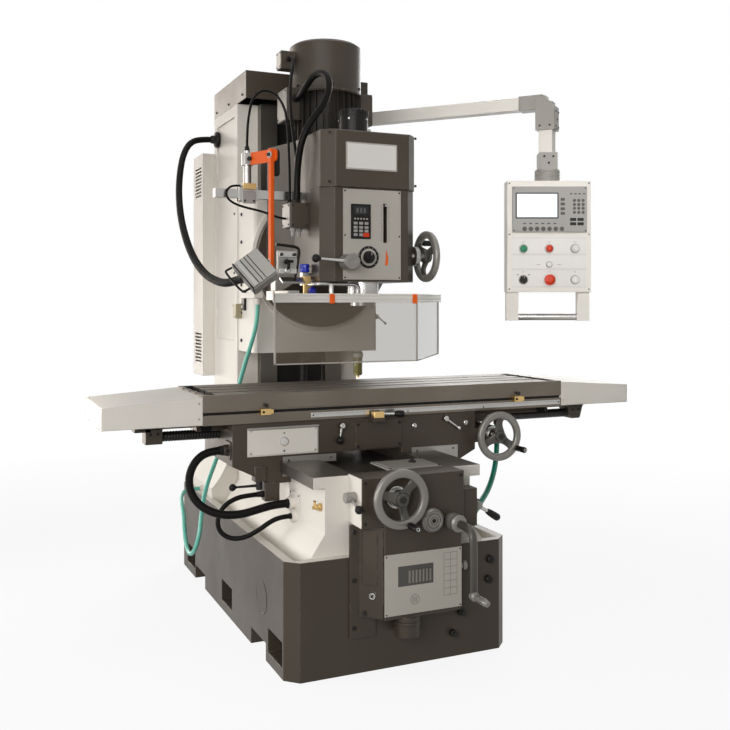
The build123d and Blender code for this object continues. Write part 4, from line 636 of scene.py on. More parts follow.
def ribbedTube(path, radius, pitch, depth, sides=20):
    # radius drawn in by a cosine once a pitch
    length = np.linalg.norm(np.diff(path, axis=0), axis=1).sum()
    rows, length = evenly(path, int(length / pitch * 6) if pitch else max(24, int(length / 6)))
    wave = np.cos(np.linspace(0, length / pitch, len(rows)) * 2 * pi) if pitch else np.ones(len(rows))
    swell = radius - depth * (0.5 - 0.5 * wave)
    return carried(rows, circle(1.0, sides) * swell[:, None, None]), rows, length


ribDepth = 0.09
for cordName, cord in cords.items():
    route = splinePoints(cord["points"])
    radius = cord["diameter"] / 2 / mm
    pitch = cord.get("ribs", 0) / mm
    surface, rows, length = ribbedTube(route / mm, radius, pitch, ribDepth * radius if pitch else 0)
    thing = piece(cordName, None if "other" in cord else cord["body"], {cord["finish"]: [surface]}, sharp=80,
                  replaced=(cord["node"],) if "node" in cord else ())
    if "other" in cord:
        cord["body"]
        cord["other"]
        cord["points"][-1]
        cord["points"][0]
        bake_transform(thing)
    cord["points"][0]
    cord["diameter"]
    print("cord", cordName, round(length), "mm")


# Hand wheels: flattened rim, three dished spokes, hub, graduated collar and a black grip
wheel = {"rim": 80, "tube": 11, "swell": 2.5, "hub": 22, "spoke": 44, "waist": 28, "spokeThick": 11, "dish": 7,
         "collar": 34, "collarLength": 24, "grip": 11, "gripLength": 62, "shaft": 12, "bore": 35,
         "squareness": 0.75}
wheels = {
    "crossWheel": {"node": "y_handwheel", "axes": moved(feedFront, -66, 550), "stand": 44, "gripAngle": -75},
    "tableWheel": {"node": "x_handwheel", "axes": moved(saddleFront, 531, 650), "stand": 55, "gripAngle": -35},
    "quillWheel": {"node": "head_handwheel", "axes": rightward(176, -393.8, 1304), "stand": 56, "gripAngle": 40},
}
loop = circle(1.0, 20)
bulge = np.sign(loop) * np.abs(loop) ** wheel["squareness"]
t = np.linspace(0, 1, 14)[:, None]
spokeAlong = np.repeat(14 + (wheel["rim"] - 16) * t, len(bulge), axis=1)
spokeAcross = (wheel["waist"] + (wheel["spoke"] - wheel["waist"]) * (2 * t - 1) ** 2) / 2 * bulge[:, 0]
spokeHeight = wheel["spokeThick"] / 2 * bulge[:, 1] - wheel["dish"] * np.sin(pi * t) ** 2
rimSection = bulge * (wheel["tube"] + wheel["swell"], wheel["tube"]) + (wheel["rim"] - wheel["swell"], 0)
hub, collar, shaft, end = wheel["hub"], wheel["collar"], wheel["shaft"], wheel["collarLength"]
grip, long = wheel["grip"], wheel["gripLength"]
for wheelName, fitted in wheels.items():
    axes, stand, gripTurn = fitted["axes"], fitted["stand"], radians(fitted["gripAngle"])
    centre = moved(axes, z=stand)
    gripAxes = moved(centre, wheel["rim"] * cos(gripTurn), wheel["rim"] * sin(gripTurn))
    spokes = []
    for turn in gripTurn + np.arange(3) * 2 * pi / 3:
        spokes.append(ringStack(np.stack([
            spokeAlong * cos(turn) - spokeAcross * sin(turn), spokeAlong * sin(turn) + spokeAcross * cos(turn),
            spokeHeight], -1), centre))
    longMarks = around(axes, range(0, 360, 50), 9.5, collar)
    shortMarks = around(axes, [10 * k for k in range(36) if k % 5], 8, collar)
    piece(wheelName, fitted["node"], {
        "wheelGrey": [turned(rimSection, centre, 72, capped=False)],
        "castGrey": [*spokes, shut([(hub - 2, -15), (hub, -13), (hub, 9), (hub - 3, 14), (13, 15), (12, 11)],
                                   centre, 40)],
        "blackSteel": [shut([(9, 10), (9, 16), (7.5, 17.5)], centre, 6),
                       *[strip(mark, 9, 0.9, 0.25) for mark in longMarks],
                       *[strip(mark, 6, 0.9, 0.25) for mark in shortMarks]],
        "brightSteel": [turned([(shaft, 1 - wheel["bore"]), (shaft, stand)], axes, 24),
                        turned([(collar - 4, 0.4), (collar, 3), (collar, end - 9), (collar - 1, end - 8),
                                (collar - 1, end - 6), (collar - 8, end), (shaft, end)], axes, 48),
                        shut([(6, long + 8), (6, long + 10.6), (4.6, long + 11), (3, long + 9.6)], gripAxes, 18)],
        "blackPlastic": [turned([(6, 8), (6, 14), (grip - 2, 15), (grip, 24), (grip - 0.8, long * 0.6),
                                 (grip, long + 4), (grip - 2.5, long + 9), (6.5, long + 10)], gripAxes, 24)]},
        replaced=(fitted["node"],))

# Feed dial beside the cross wheel
dial = {"axes": moved(feedFront, 52, 471), "knurl": range(0, 360, 6), "rings": ((30, 0.5), (22, 0.6), (12, 0.5))}
axes = dial["axes"]
piece("feedDial", "feed_dial", {
    "wheelGrey": [shut([(12, -35), (12, 0.4), (35, 0.4), (37, 2), (37, 26), (33, 31), (32, 34), (25, 34),
                        (24, 33), (6.5, 33), (6, 28)], axes, 56),
                  *[strip(tooth, 15, 1.5, 1.0) for tooth in around(axes, dial["knurl"], 17, 36.6)]],
    "blackPlastic": [shut([(6.5, 27), (6.5, 33.4)], axes, 12)],
    "blackSteel": [ring(axes, r - half, r + half, 33, 34.3, 56) for r, half in dial["rings"]]},
    replaced=("feed_dial",))

# Lifting crank: stepped collar, tube that bends into a flat arm, turned grip
crank = {"axes": moved(feedFront, 131, 458), "stand": 132, "arm": 198, "bend": 137, "tube": 13,
         "flatBy": (0.5, 6.5)}
axes, arm, bend = crank["axes"], crank["arm"], crank["bend"]
armPath = eased([(0, 0, 40), (0, 0, 100), (0, -10, 128), (0, -40, bend), (0, -arm, bend)])
flatness = np.clip(np.linspace(-0.9, 1.6, len(armPath)), 0, 1)[:, None, None]
section = circle(1.0, 20) * (crank["tube"] - flatness * crank["flatBy"])
grip = moved(axes, 0, -arm, crank["stand"])
piece("liftCrank", "z_crank", {
    "castGrey": [carried(place(armPath, axes), section)],
    "wheelGrey": [turned([(12, -35), (12, 0.4), (25, 0.4), (27, 3), (27, 26), (24, 30), (24, 34), (27, 36),
                          (27, 48), (22, 53), (13, 56)], axes, 40),
                  shut([(14, -1), (14, 14), (11, 16), (9, 18), (9, 24), (11, 34), (11, 60), (9.5, 82), (6, 86)],
                       grip)]}, replaced=("z_crank",))

# Ball levers: boss, tapered rod and a ball at its end
levers = {
    "bedLever": {
        "node": "bed_lever", "axes": leftward(-178, -710.5, 549), "boss": 16, "length": 36, "angle": -18,
        "reach": 74, "rod": 6, "ball": 13, "bossFinish": "greyPaint", "ballFinish": "blackPlastic"},
    "tableLockLever": {
        "node": "x_lock_lever", "axes": moved(saddleFront, -79, 718), "boss": 10, "length": 30, "angle": -96,
        "reach": 52, "rod": 4.5, "ball": 13, "bossFinish": "brightSteel", "ballFinish": "blackPlastic"},
    "saddleLockLever": {
        "node": "saddle_lock_lever", "axes": moved(saddleFront, 330, 721), "boss": 10, "length": 24, "angle": -34,
        "reach": 68, "rod": 5, "ball": 8, "bossFinish": "brightSteel", "ballFinish": "brightSteel"},
    "saddleClampLever": {
        "node": "saddle_clamp_lever", "axes": downward(-365, -330, 545), "boss": 11, "length": 30, "angle": 180,
        "reach": 92, "rod": 5, "ball": 12, "bossFinish": "blackSteel", "rodFinish": "blackSteel",
        "ballFinish": "blackPlastic"},
    "quillLever": {
        "node": "quill_lever", "axes": moved(panelFront, -98, 1277), "boss": 27, "length": 62, "angle": 176,
        "reach": 126, "rod": 6.5, "ball": 14, "rodHeight": 48, "pin": 12, "bossFinish": "wheelGrey",
        "ballFinish": "blackPlastic"},
}
for leverName, lever in levers.items():
    axes, boss, long, pin = lever["axes"], lever["boss"], lever["length"], lever.get("pin", 7)
    reach, thick, ball = lever["reach"], lever["rod"], lever["ball"]
    rod = leaning(axes, lever["angle"], lever.get("rodHeight", 0.3 + long / 2))
    parts = defaultdict(list)
    parts[lever["bossFinish"]].append(shut(
        [(pin, -20), (pin, 0.3), (boss - 1.5, 0.3), (boss, 2), (boss, long - 2), (boss - 2, long),
         (0.4 * boss, long), (0.35 * boss, long - 1.5)], axes, 36))
    parts[lever.get("rodFinish", "brightSteel")].append(turned(
        [(thick * 0.9, 0), (thick, boss), (thick * 0.78, reach * 0.7), (thick * 0.7, reach)], rod, 20))
    parts[lever["ballFinish"]].append(turned(
        [(thick * 1.05, reach - ball * 1.15), *ballProfile(ball, reach, -52)], rod, 28))
    piece(leverName, lever["node"], parts, replaced=(lever["node"],))

# Gear lever at the right of the feed box, with its long black handle
axes = front(248, -703.5, 488)
rod = leaning(axes, -32, 13)
piece("gearLever", "side_lever", {
    "greyPaint": [shut([(7, -15), (7, 0.3), (13, 0.3), (14, 2), (14, 24), (12, 26.3)], axes)],
    "brightSteel": [turned([(6, 0), (6, 44)], rod, 18)],
    "blackPlastic": [turned([(6.5, 42), (9, 44), (11, 56), (12, 74), (12, 90), (9, 95), (axisGap, 96)],
                            rod, 24)]}, replaced=("side_lever",))

# Feed lever on its brass block, in front of the table
axes = upward(50, -369, 741)
rod = leaning(axes, -20, 11.3)
piece("feedLever", "feed_lever", {
    "brass": [slab(moved(axes, 0, -9.5, 0.3), 39, 27, 22, 2, 1.2)],
    "brightSteel": [turned([(7, -13), (7, 1)], axes, 20), turned([(6, 0), (6, 66)], rod, 18),
                    shut([(5, 97), (5, 98)], rod, 14)],
    "blackPlastic": [turned([(6.5, 62), (9, 64), (12, 72), (12, 90), (9.5, 97), (axisGap, 98)], rod, 24)],
    "blackSteel": [screw(moved(axes, 0, -14, 22.3), 4)]}, replaced=("feed_lever",))
print("wheels and levers made")

# Push buttons, emergency stop and selector of the pendant
pendantTop = np.array([863.0, -228.0, 1621.0])
pendantDepth = 40


def onPendant(x, drop, out=0.0):
    spot = pendantTop + pendantX * x - pendantY * (pendantDepth + out) - np.array([0, 0, drop])
    return axesAt(spot, -pendantY, pendantX)


buttons = {
    "startButton": {
        "node": "start_button", "x": -102, "drop": 268, "radius": 14, "tall": 9, "neck": [(9.8, 5.2)],
        "finish": "greenPlastic"},
    "stopButton": {
        "node": "stop_button", "x": 0, "drop": 268, "radius": 14, "tall": 9, "neck": [(9.8, 5.2)],
        "finish": "redPlastic"},
    "emergencyButton": {
        "node": "estop_button", "x": 0, "drop": 391, "radius": 21, "tall": 18, "neck": [(13, 5.2), (13, 11)],
        "finish": "redPlastic"},
}
for buttonName, button in buttons.items():
    radius, top = button["radius"], 5 + button["tall"]
    neck = [(8, -18), (8, 5), *button["neck"]]
    crown = [(radius * cos(a), top - 3 + 3 * sin(a)) for a in np.linspace(0, pi / 2, 6)[:-1]]
    foot = neck[-1][1]
    profile = [*neck, (radius - 0.8, foot + 0.6), (radius, foot + 2), *crown, (radius * 0.7, top + 0.2),
               (axisGap, top + 0.6)]
    cap = turned(profile, onPendant(button["x"], button["drop"]), 36)
    piece(buttonName, button["node"], {button["finish"]: [cap]}, replaced=(button["node"],))
axes = onPendant(-102, 391)
piece("selectorKnob", "selector_knob", {
    "blackPlastic": [shut([(8, -20), (8, 0.3), (15, 0.3), (15, 9), (13.5, 12.3)], axes, 32),
                     slab(moved(axes, z=11), 8, 29, 13.3, 3.5, 1.6)],
    "whitePlastic": [strip(moved(axes, 0, 10, 24.2), 1.6, 8, 0.3)]}, replaced=("selector_knob",))

# Readout: screen in its frame, groups of keys and corner screws
readout = {"drop": 24, "stand": 14, "bezel": (170, 103), "screen": (158, 91), "screenPlace": (-50, 75.5)}


def onReadout(x, drop, out=0.0):
    return onPendant(x, readout["drop"] + drop, readout["stand"] + out)


keys = {
    "inkGrey": [
        slab(onReadout(*readout["screenPlace"]), *readout["bezel"], 1.2, 4, 0.6),
        *[slab(onReadout(51, drop), 17, 11, 2.0, 2.5, 0.8) for drop in (51, 69, 88, 106)],
        *[shut([(6.2, 0), (6.2, 1.2), (5, 2)], onReadout(x, drop), 14) for x in (97, 114, 131)
          for drop in (55, 71, 86, 102)],
        *[slab(onReadout(x, 29), 10, 5, 1.2, 1.2, 0.4) for x in (84, 101, 118, 135)],
        *[turned([(9, 0), (9, 1.0), (7.6, 1.0), (7.2, 0.4), (6.6, 1.8), (axisGap, 2.2)], onReadout(x, 167), 18)
          for x in np.linspace(-99, 48, 7)],
        *[strip(onReadout(x, 146), 12, 5, 0.5) for x in np.linspace(-99, 20, 6)]],
    "displayGlass": [slab(onReadout(*readout["screenPlace"], 1.2), *readout["screen"], 0.8, 1.5, 0.4)],
    "blackPlastic": [slab(onReadout(x, drop), 25, 12, 1.8, 2, 0.7) for x in (92, 121) for drop in (130, 147)],
    "blackSteel": [screw(onReadout(x, drop), 2.6) for x in (-141, 141) for drop in (6, 173)],
}
piece("readoutKeys", "pendant", keys)

# Pendant face: label strips with their edges, bezels, lamps and plain marks
labels = {"width": 296, "rows": ((257.5, 63), (320.5, 55), (385.5, 67))}
bezels = ((-102, 268, 14), (0, 268, 14), (0, 391, 13.6), (-102, 391, 15))
signals = ((102, 268, 15), (102, 391, 15), (0, 331, 10))
face = defaultdict(list)
for drop, tall in labels["rows"]:
    face["whitePlastic"].append(slab(onPendant(0, drop), labels["width"], tall, 0.7, 2, 0.3))
    face["greyPlastic"] += [strip(onPendant(0, drop + side * tall / 2, 0.5), labels["width"], 0.8, 0.35)
                            for side in (-1, 1)]
face["blackSteel"] += [screw(onPendant(x, drop), 3.0) for x in (-157, 157) for drop in (10, 212, 428)]
for x, drop, radius in bezels:
    profile = np.array([(0.7, 0.7), (0.7, 3.6), (1.6, 4.4), (3.4, 3.6), (4.2, 0.7)]) + (radius, 0)
    face["brightSteel"].append(turned(profile, onPendant(x, drop), 36, capped=False))
for x, drop, radius in signals:
    dome = [(radius * cos(a) + axisGap, 8 + 5 * sin(a)) for a in np.linspace(0.2, pi / 2, 7)]
    profile = np.array([(3, 0.6), (3, 3), (1.6, 4.4), (0.3, 4.4)]) + (radius, 0)
    face["greyPlastic"].append(turned(profile, onPendant(x, drop), 32))
    face["whitePlastic"].append(turned([(radius, 4), (radius, 8), *dome], onPendant(x, drop), 32))
face["blackPlastic"] += [strip(onPendant(x, 371, 0.7), 8, 2.6, 0.4) for x in (-124, -80)]
face["greyPlastic"] += [strip(onPendant(x, 331, 0.7), 14, 2.2, 0.4) for x in (-42, 40)]
face["greyPlastic"] += [strip(onPendant(x, drop, 0.7), 10, 2.0, 0.4) for x in (-102, 0, 102)
                        for drop in (242, 360)]
piece("pendantFace", "pendant", face)

# Coupling and elbow: clamp screws, rings and the elbow's side lid
clampPoint = pendantTop + np.array([0, 0, 80.0])
clampFaces = [axesAt(clampPoint - pendantY * 35, -pendantY, pendantX),
              axesAt(clampPoint + pendantX * 35, pendantX, pendantY)]
piece("couplingFittings", "pendant", {
    "blackSteel": [head for axes in clampFaces for head in screwsAt(axes, [(-18, 18), (18, 18), (0, -8)], 4.5)],
    "greyPaint": [band(upward(*pendantTop), 49.2, 1.4, z, z + 5.2, 1.2, 48) for z in (10, 22, 34)]})
elbow = np.array([863.0, -228.0, 1872.0])
lid = moved(axesAt(elbow + armX * 38, armX, armY), 0, -4)
piece("elbowLid", "pendant_arm", {
    "greyPaint": [slab(lid, 58, 76, 2.5, 4, 1)],
    "blackSteel": [*screwsAt(moved(lid, z=2.5), cornerSpots(44, 60) + [(0, 0)], 3.6),
                   *screwsAt(axesAt(elbow - armY * 38, -armY, armX), [(-20, -30), (20, -30)], 4.2)]})
print("pendant made")

# Head front: bare name plate, keypad, speed dial, quill scale and screws
namePlate, pad = moved(coverFront, -5, 1635), moved(panelFront, -43.5, 1415)
dialPlate = moved(panelFront, -14, 1295)
scale = {"x": 48, "z": 1352, "step": 6, "count": 21}
details = {
    "panelPlate": [
        slab(namePlate, 190, 92, 1.6, 2, 0.6),
        *[strip(moved(pad, x, 9, 3), 6, 5, 0.4) for x in (-22, -11, 0, 11, 22)],
        ring(dialPlate, 22.3, 29, 0.7, 1.2, 56),
        *[strip(mark, 0.9, 1.3, 3.6) for mark in around(dialPlate, range(-45, 226, 27), 1.0, 32)]],
    "whitePlastic": [slab(moved(namePlate, z=1.6), 180, 82, 0.3, 1.5, 0.1)],
    "brightSteel": screwsAt(moved(namePlate, z=1.6), cornerSpots(184, 86), 2.0),
    "blackPlastic": [slab(pad, 73, 118, 3.0, 3, 1.0),
                     turned([(22, 0), (22, 0.8), (37, 0.8), (38, 0)], dialPlate, 56, capped=False)],
    "darkGlass": [slab(moved(pad, 0, 37, 3), 48, 26, 0.5, 1.5, 0.2)],
    "inkGrey": [strip(moved(pad, x, 37, 3.5), 8, 15, 0.2) for x in (-13, 0, 13)],
    "greyPlastic": [slab(moved(pad, x, y, 3), 14, 9, 1.0, 1.5, 0.4) for x in (-20, 0, 20)
                    for y in (-6, -20, -32, -45) if (x, y) != (20, -45)],
    "redPlastic": [slab(moved(pad, 19, -45, 3), 21, 14, 1.4, 2, 0.5)],
    "orangePaint": [prism([(47, 1268), (57, 1268), (59, 1296), (51, 1322), (50, 1296)], panelFront, 0.5)],
    "blackSteel": [*screwsAt(panelFront, [(x, z) for x in (-101, 101) for z in (1226, 1368, 1517)], 3.0),
                   *screwsAt(coverFront, [(x, z) for x in (-160, 160) for z in (1544, 1708)], 4.5)],
}
for k in range(scale["count"]):
    out, wide = (14.5, 9) if k % 5 == 0 else (13, 6)
    middle = moved(panelFront, scale["x"], scale["z"] + scale["step"] * k)
    details["inkGrey"] += [strip(moved(middle, side * out), wide, 0.9, 0.25) for side in (-1, 1)]
piece("headFace", "head", details)
piece("speedKnob", "speed_knob", {
    "blackPlastic": [shut([(20.4, 0.3), (21, 1.2), (20.6, 5), (16.5, 6), (15.5, 16.5), (14, 18)], dialPlate, 44),
                     *[strip(rib, 9, 2.2, 1.3) for rib in around(dialPlate, range(0, 360, 20), 11, 15.2)],
                     slab(moved(dialPlate, z=17.5), 6, 36, 8.5, 2.5, 1.2)],
    "whitePlastic": [strip(moved(dialPlate, 0, 11, 26), 1.4, 11, 0.3)]}, replaced=("speed_knob",))

# Junction box: lid, screws and the glands at both ends of its cables
boxLid = leftward(-244, -259.8, 1443)
glandSpots = [
    (upward(-210, -269.8, 1486), 1.25), (upward(-226, -241.8, 1486), 0.72), (upward(-194, -238.0, 1486), 0.8),
    (front(-139.5, -59.8, 1900), 1.25), (front(-158, -30.8, 2050), 0.8), (upward(-368, -199.8, 1668.3), 0.7)]
piece("headGlands", "head", {
    "greyPaint": [slab(boxLid, 74, 80, 3, 3, 1)],
    "blackSteel": [*screwsAt(moved(boxLid, z=3), cornerSpots(60, 66), 3.4),
                   *screwsAt(front(-210, -299.8, 1443), cornerSpots(50, 68), 3.2)],
    "blackPlastic": [turned(np.array([(13, 0), (13, 7), (11, 8), (11, 14), (9, 17)]) * (size, 1), axes, 6)
                     for axes, size in glandSpots],
    "greyPlastic": [shut([(11, 0), (11, 9), (8, 11), (7, 26), (5.2, 30)], downward(x, y, 1400), 20)
                    for x, y in ((-226, -276), (-198, -258))]})

# Motor: cowl grille, seam and screws, terminal lids and flange bolts
motor = {"x": 0, "y": -4.8, "top": 2118, "skirt": 1925, "flange": 1740, "rings": (26, 42, 58, 74, 90, 106)}
top, skirt, flange = (upward(motor["x"], motor["y"], motor[key]) for key in ("top", "skirt", "flange"))
spokeTurns = [axesAt(top[3], (0, 0, 1), (cos(a), sin(a), 0)) for a in np.arange(8) * pi / 4]
lids = [leftward(-172, motor["y"], 1880), rightward(172, motor["y"], 1880)]
switchLid = leftward(-186, motor["y"], 2048)
piece("motorDetails", "head", {
    "darkPaint": [*[ring(top, r - 2.2, r + 2.2, -9, -0.3, 48) for r in motor["rings"]],
                  *[strip(moved(spoke, 66, 0, -7), 92, 5, 6) for spoke in spokeTurns],
                  band(skirt, 136, 1.4, 2, 10.5, 1.5, 64), slab(lids[1], 104, 114, 3.5, 6, 1.5)],
    # The left terminal lid and the switch lid take the lighter grey while the right lid keeps the dark paint: a
    # painted sheen for the light falling on the left sides
    "greyPaint": [slab(lids[0], 104, 114, 3.5, 6, 1.5), slab(switchLid, 48, 62, 2.5, 4, 1.2)],
    "blackSteel": [*[screw(spot, 5.5) for spot in around(skirt, range(20, 380, 60), 24, 136)],
                   *screwsAt(flange, [(126 * cos(a), 126 * sin(a)) for a in np.radians((45, 135, 225, 315))], 7),
                   *[head for lid in lids for head in screwsAt(moved(lid, z=3.5), cornerSpots(86, 96), 3.6)],
                   *screwsAt(moved(switchLid, z=2.5), cornerSpots(36, 50), 2.6)]})
axes = upward(0, -278.8, 1822)
piece("drawbarDetails", "head", {
    "blackPlastic": [band(axes, 52.2, 1.2, -92, -78, 2, 48),
                     shut([(44, -1), (44, 2.5), (40, 4), (16, 4), (15, 1)], axes, 48),
                     *[strip(rib, 20, 8, 2.4) for rib in around(axes, range(0, 360, 18), -12, 51.4)]],
    "brightSteel": [screw(spot, 4) for spot in around(axes, (-130, -50, 30, 150), -34, 51.6)]})
print("head made")

# Coolant valves: lobed blue knobs on a brass block
lobes = {"radius": 17.4, "depth": 1.1, "count": 8}


def lobedKnob(axes, profile, size=1.0):
    # shares of a wavy outline at their heights
    steps = 40
    wave = lobes["radius"] + lobes["depth"] * np.cos(lobes["count"] * np.arange(steps) * 2 * pi / steps)
    outline = circle(1.0, steps) * wave[:, None]
    rows = [np.column_stack([outline * share, np.full(steps, height)]) for share, height in profile]
    return ringStack(np.array(rows) * size, axes)


piece("valveKnob", "valve_handle", {"bluePlastic": [lobedKnob(upward(-198, -314.8, 1244), [
    (0.62, 0.3), (0.94, 1.5), (1.0, 4), (1.0, 11), (0.86, 13), (0.86, 15), (1.0, 17), (1.0, 25), (0.9, 28.5),
    (0.55, 30), (0.01, 30)])]}, replaced=("valve_handle",))
lowKnob = moved(axesAt((-188, -336.8, 1180), (0.25, -0.97, 0), (1, 0, 0)), z=9)
piece("valveBlock", "head", {
    "brass": [slab(front(-198, -337.3, 1200), 26, 62, 9, 2, 1),
              turned([(9, 0), (9, 10), (7, 12), (7, 20)], leftward(-206, -322, 1222), 6)],
    "bluePlastic": [lobedKnob(lowKnob, [(0.62, 0.3), (0.92, 1.5), (1.0, 4), (1.0, 15), (0.55, 19), (0.01, 19)],
                              size=0.8)]})

# Swing guard arm: link on the post, lapped bar with rounded ends, pivots and the hanger of the rail
swing = {"post": (-368, -199.8, 1638.3), "way": (54.0, -130.0), "reach": 140.8, "top": 1660, "eye": 1243,
         "rail": 1180, "link": 43, "bar": 14, "barThick": 15, "barStand": 3.2, "darkPlate": 92}
armWay = np.array([*swing["way"], 0.0]) / hypot(*swing["way"])
atPost = axesAt(swing["post"], (armWay[1], -armWay[0], 0.0), armWay)
atLink = moved(atPost, swing["reach"])
topRise, eyeRise, railRise = (swing[key] - swing["post"][2] for key in ("top", "eye", "rail"))
barMiddle = moved(atLink, 0, (topRise + eyeRise) / 2, swing["barStand"])
hangerMiddle = moved(atLink, 0, (eyeRise + 12 + railRise) / 2, -4)
darkPlateMiddle = moved(atLink, 0, topRise - swing["darkPlate"] / 2, -16)
pivots = [(moved(atLink, 0, rise, swing["barStand"] + swing["barThick"]), radius)
          for rise, radius in ((0, 11), (eyeRise + 13, 10), (eyeRise + 38, 6))]
piece("guardSwingArm", "guard", {
    "orangePaint": [
        slab(moved(atPost, swing["reach"] / 2 + 6, 0, -4), swing["reach"] + 20, swing["link"], 7, 13, 1),
        slab(barMiddle, swing["bar"], topRise - eyeRise, swing["barThick"], 6, 1.5)],
    # a near-black rounded plate behind the top of the bar
    "blackPlastic": [slab(darkPlateMiddle, 26, swing["darkPlate"], 12, 12.9, 2)],
    "lampMetal": [slab(hangerMiddle, 24, eyeRise + 12 - railRise, 7, 3, 1)],
    "brightSteel": [turned([(10.6, 0), (20, 0), (20, 2), (20, 41.5), (18.5, 43), (10.6, 43)],
                           upward(-368, -199.8, 1616.4), 40, capped=False),
                    *[shut([(radius, 0), (radius, 2), (radius - 1, 3)], axes) for axes, radius in pivots]],
    "blackSteel": [shut([(radius * 0.62, 3), (radius * 0.62, 8), (radius * 0.5, 9)], axes, 6)
                   for axes, radius in pivots]}, replaced=("guard_arm",))

# Guard rail: an extruded bar with two grooves in its front, mitred where it bends, on a flat hanger
rail = {"low": 1142.0, "tall": 29, "thick": 15, "groove": 1.4, "y": -539.8, "left": -382, "bend": 120,
        "end": (388.1, -201.5)}
h, t, g = rail["tall"], rail["thick"] / 2, rail["groove"]
railSection = np.array([(-t, 0), (-t, 6), (-t + g, 7), (-t + g, 9), (-t, 10), (-t, h - 10), (-t + g, h - 9),
                        (-t + g, h - 7), (-t, h - 6), (-t, h - 1), (-t + 1, h), (t, h), (t, 0)])
wingWay = np.array(rail["end"]) - (rail["bend"], rail["y"])
wingWay /= np.linalg.norm(wingWay)
wingOut = np.array([-wingWay[1], wingWay[0]])
mitre = (np.array([0, 1]) + wingOut) / (1 + wingOut[1])


def alongRail(section, low, end):
    # a section of depth and height at the left end, at the mitred bend and at the wing's end
    stations = [((rail["left"], rail["y"]), (0, 1)), ((rail["bend"], rail["y"]), mitre), (end, wingOut)]
    rings = [np.column_stack([spot + section[:, :1] * out, section[:, 1]]) for spot, out in stations]
    return ringStack(rings, upward(0, 0, low))


piece("guardRail", "guard", {
    "railMetal": [alongRail(railSection, rail["low"], rail["end"]),
                  slab(front(rail["left"] + 38, rail["y"] - t, rail["low"] + h / 2), 66, 22, 0.8, 2, 0.3)],
    "lampMetal": [slab(upward(-314, -421, 1150), 40, 222, 30, 3, 1.2)]}, replaced=("guard_rail",), sharp=20)

# Guard panes: polished edges along the foot, the bend and the two ends
pane = {"low": 946.0, "tall": 196, "thick": 5.6, "lip": 4, "end": (372.0, -221.8)}
lip = np.array([(-1, 0), (-1, 1), (1, 1), (1, 0)]) * (pane["thick"] / 2, pane["lip"])
uprights = ((rail["left"] + 2.8, rail["y"]), (rail["bend"], rail["y"]), pane["end"])
piece("paneEdges", "guard", {"panelPlate": [
    alongRail(lip, pane["low"] - 0.2, pane["end"]),
    *[slab(upward(x, y, pane["low"]), pane["thick"], pane["thick"], pane["tall"], 1, 0.4) for x, y in uprights]]})

# Guard fittings: clips and end cap of the rail, adjusting bracket with its knob and stay
stay = [(-306, -330, 1338), (-262, -331, 1334), (-230, -331, 1330), (-222, -331, 1316), (-228, -331, 1284),
        (-233, -331, 1250), (-240, -331, 1222)]
piece("guardFittings", "guard", {
    "orangePaint": [slab(front(x, -547.3, 1154), 17, 31, 3.5, 2, 1) for x in (-189, 108)],
    "brightSteel": [
        shut([(7, 0), (7, 30), (5.5, 32)], upward(-189, -539.8, 1170.5), 18),
        slab(front(-266, -334, 1304), 62, 20, 6, 3, 1.2), slab(front(-266, -334, 1248), 62, 18, 8, 3, 1.2),
        slab(axesAt((-250, -336, 1214), (0, -0.5, 1), (1, 0, 0)), 82, 40, 7, 3, 1.2),
        shut([(12, 0), (12, 8), (10, 9)], front(-270, -340, 1249), 6),
        slab(front(-368, -219.8, 1638), 30, 38, 3, 3, 1)],
    "lampMetal": [slab(front(-266, -322, 1276), 70, 84, 12, 5, 2)],
    "blackPlastic": [shut([(9, 0), (9, 6), (6, 7), (6, 22), (4, 24)], front(-270, -334, 1280), 20),
                     slab(front(-270, -354, 1280), 34, 10, 8, 4, 2),
                     slab(front(-270, -354, 1268), 9, 30, 8, 4, 2), tube(stay, 5)],
    "blackSteel": [*[turned([(6, 0), (6, 7), (axisGap, 8)], front(x, -340, 1304), 6) for x in (-290, -244)],
                   turned([(8, 0), (8, 8), (axisGap, 9)], front(-368, -222.8, 1638), 6)],
    "greyPlastic": [slab(leftward(-382.2, -539.8, 1161), 14, 36, 2.5, 2, 1)]})
piece("guardClamp", "head", {
    "lampMetal": [slab(front(-366, -214.8, 1505), 50, 42, 6, 3, 1.2)],
    "blackSteel": screwsAt(front(-366, -220.8, 1505), [(-16, -12), (16, -12)], 4),
    "brass": [slab(front(-366, -214.8, 1543), 46, 20, 14, 1.5, 0.8)],
    "brightSteel": [turned([(5, 0), (5, 5), (3.6, 6), (3.6, 9)], leftward(-389, -221, 1543), 6)]})

# Lamp: finned aluminium box with a black wire handle on a ribbed gooseneck
lampBox = {"point": (-474.0, -661.0, 1235.0), "aim": (0.37, 0.84, -0.40), "roll": 50, "long": 106, "wide": 92,
           "shift": -4, "fins": (-24, -18, -12, -6), "ribs": (-20, -6, 6)}
aim = np.array(lampBox["aim"]) / np.linalg.norm(lampBox["aim"])
across = np.cross((0, 0, 1), aim)
across /= np.linalg.norm(across)
roll = radians(lampBox["roll"])
lampMiddle = moved(axesAt(lampBox["point"], aim, across * cos(roll) + np.cross(aim, across) * sin(roll)),
                   0, lampBox["shift"])
neckPoints = np.array([
    (-276, 600, 1842), (-330, 600, 1840), (-386, 562, 1820), (-430, 498, 1766), (-466, 410, 1684),
    (-502, 280, 1567), (-536, 80, 1437), (-552, -130, 1316), (-552, -320, 1236), (-540, -480, 1203),
    (-526, -580, 1203), (-510, -632, 1216)])
gooseneck = {"radius": 13, "pitch": 5.0, "depth": 0.9}
rosette = leftward(-260, 600, 1842)
socketAxes = axesAt(neckPoints[-1], neckPoints[-1] - neckPoints[-2], (0, 0, 1))
handleLine = np.array([(-34, -48, -8), (-34, -66, -14), (-28, -74, -16), (50, -74, -16), (55, -66, -14),
                       (54, -48, -8)])
long, wide = lampBox["long"], lampBox["wide"]
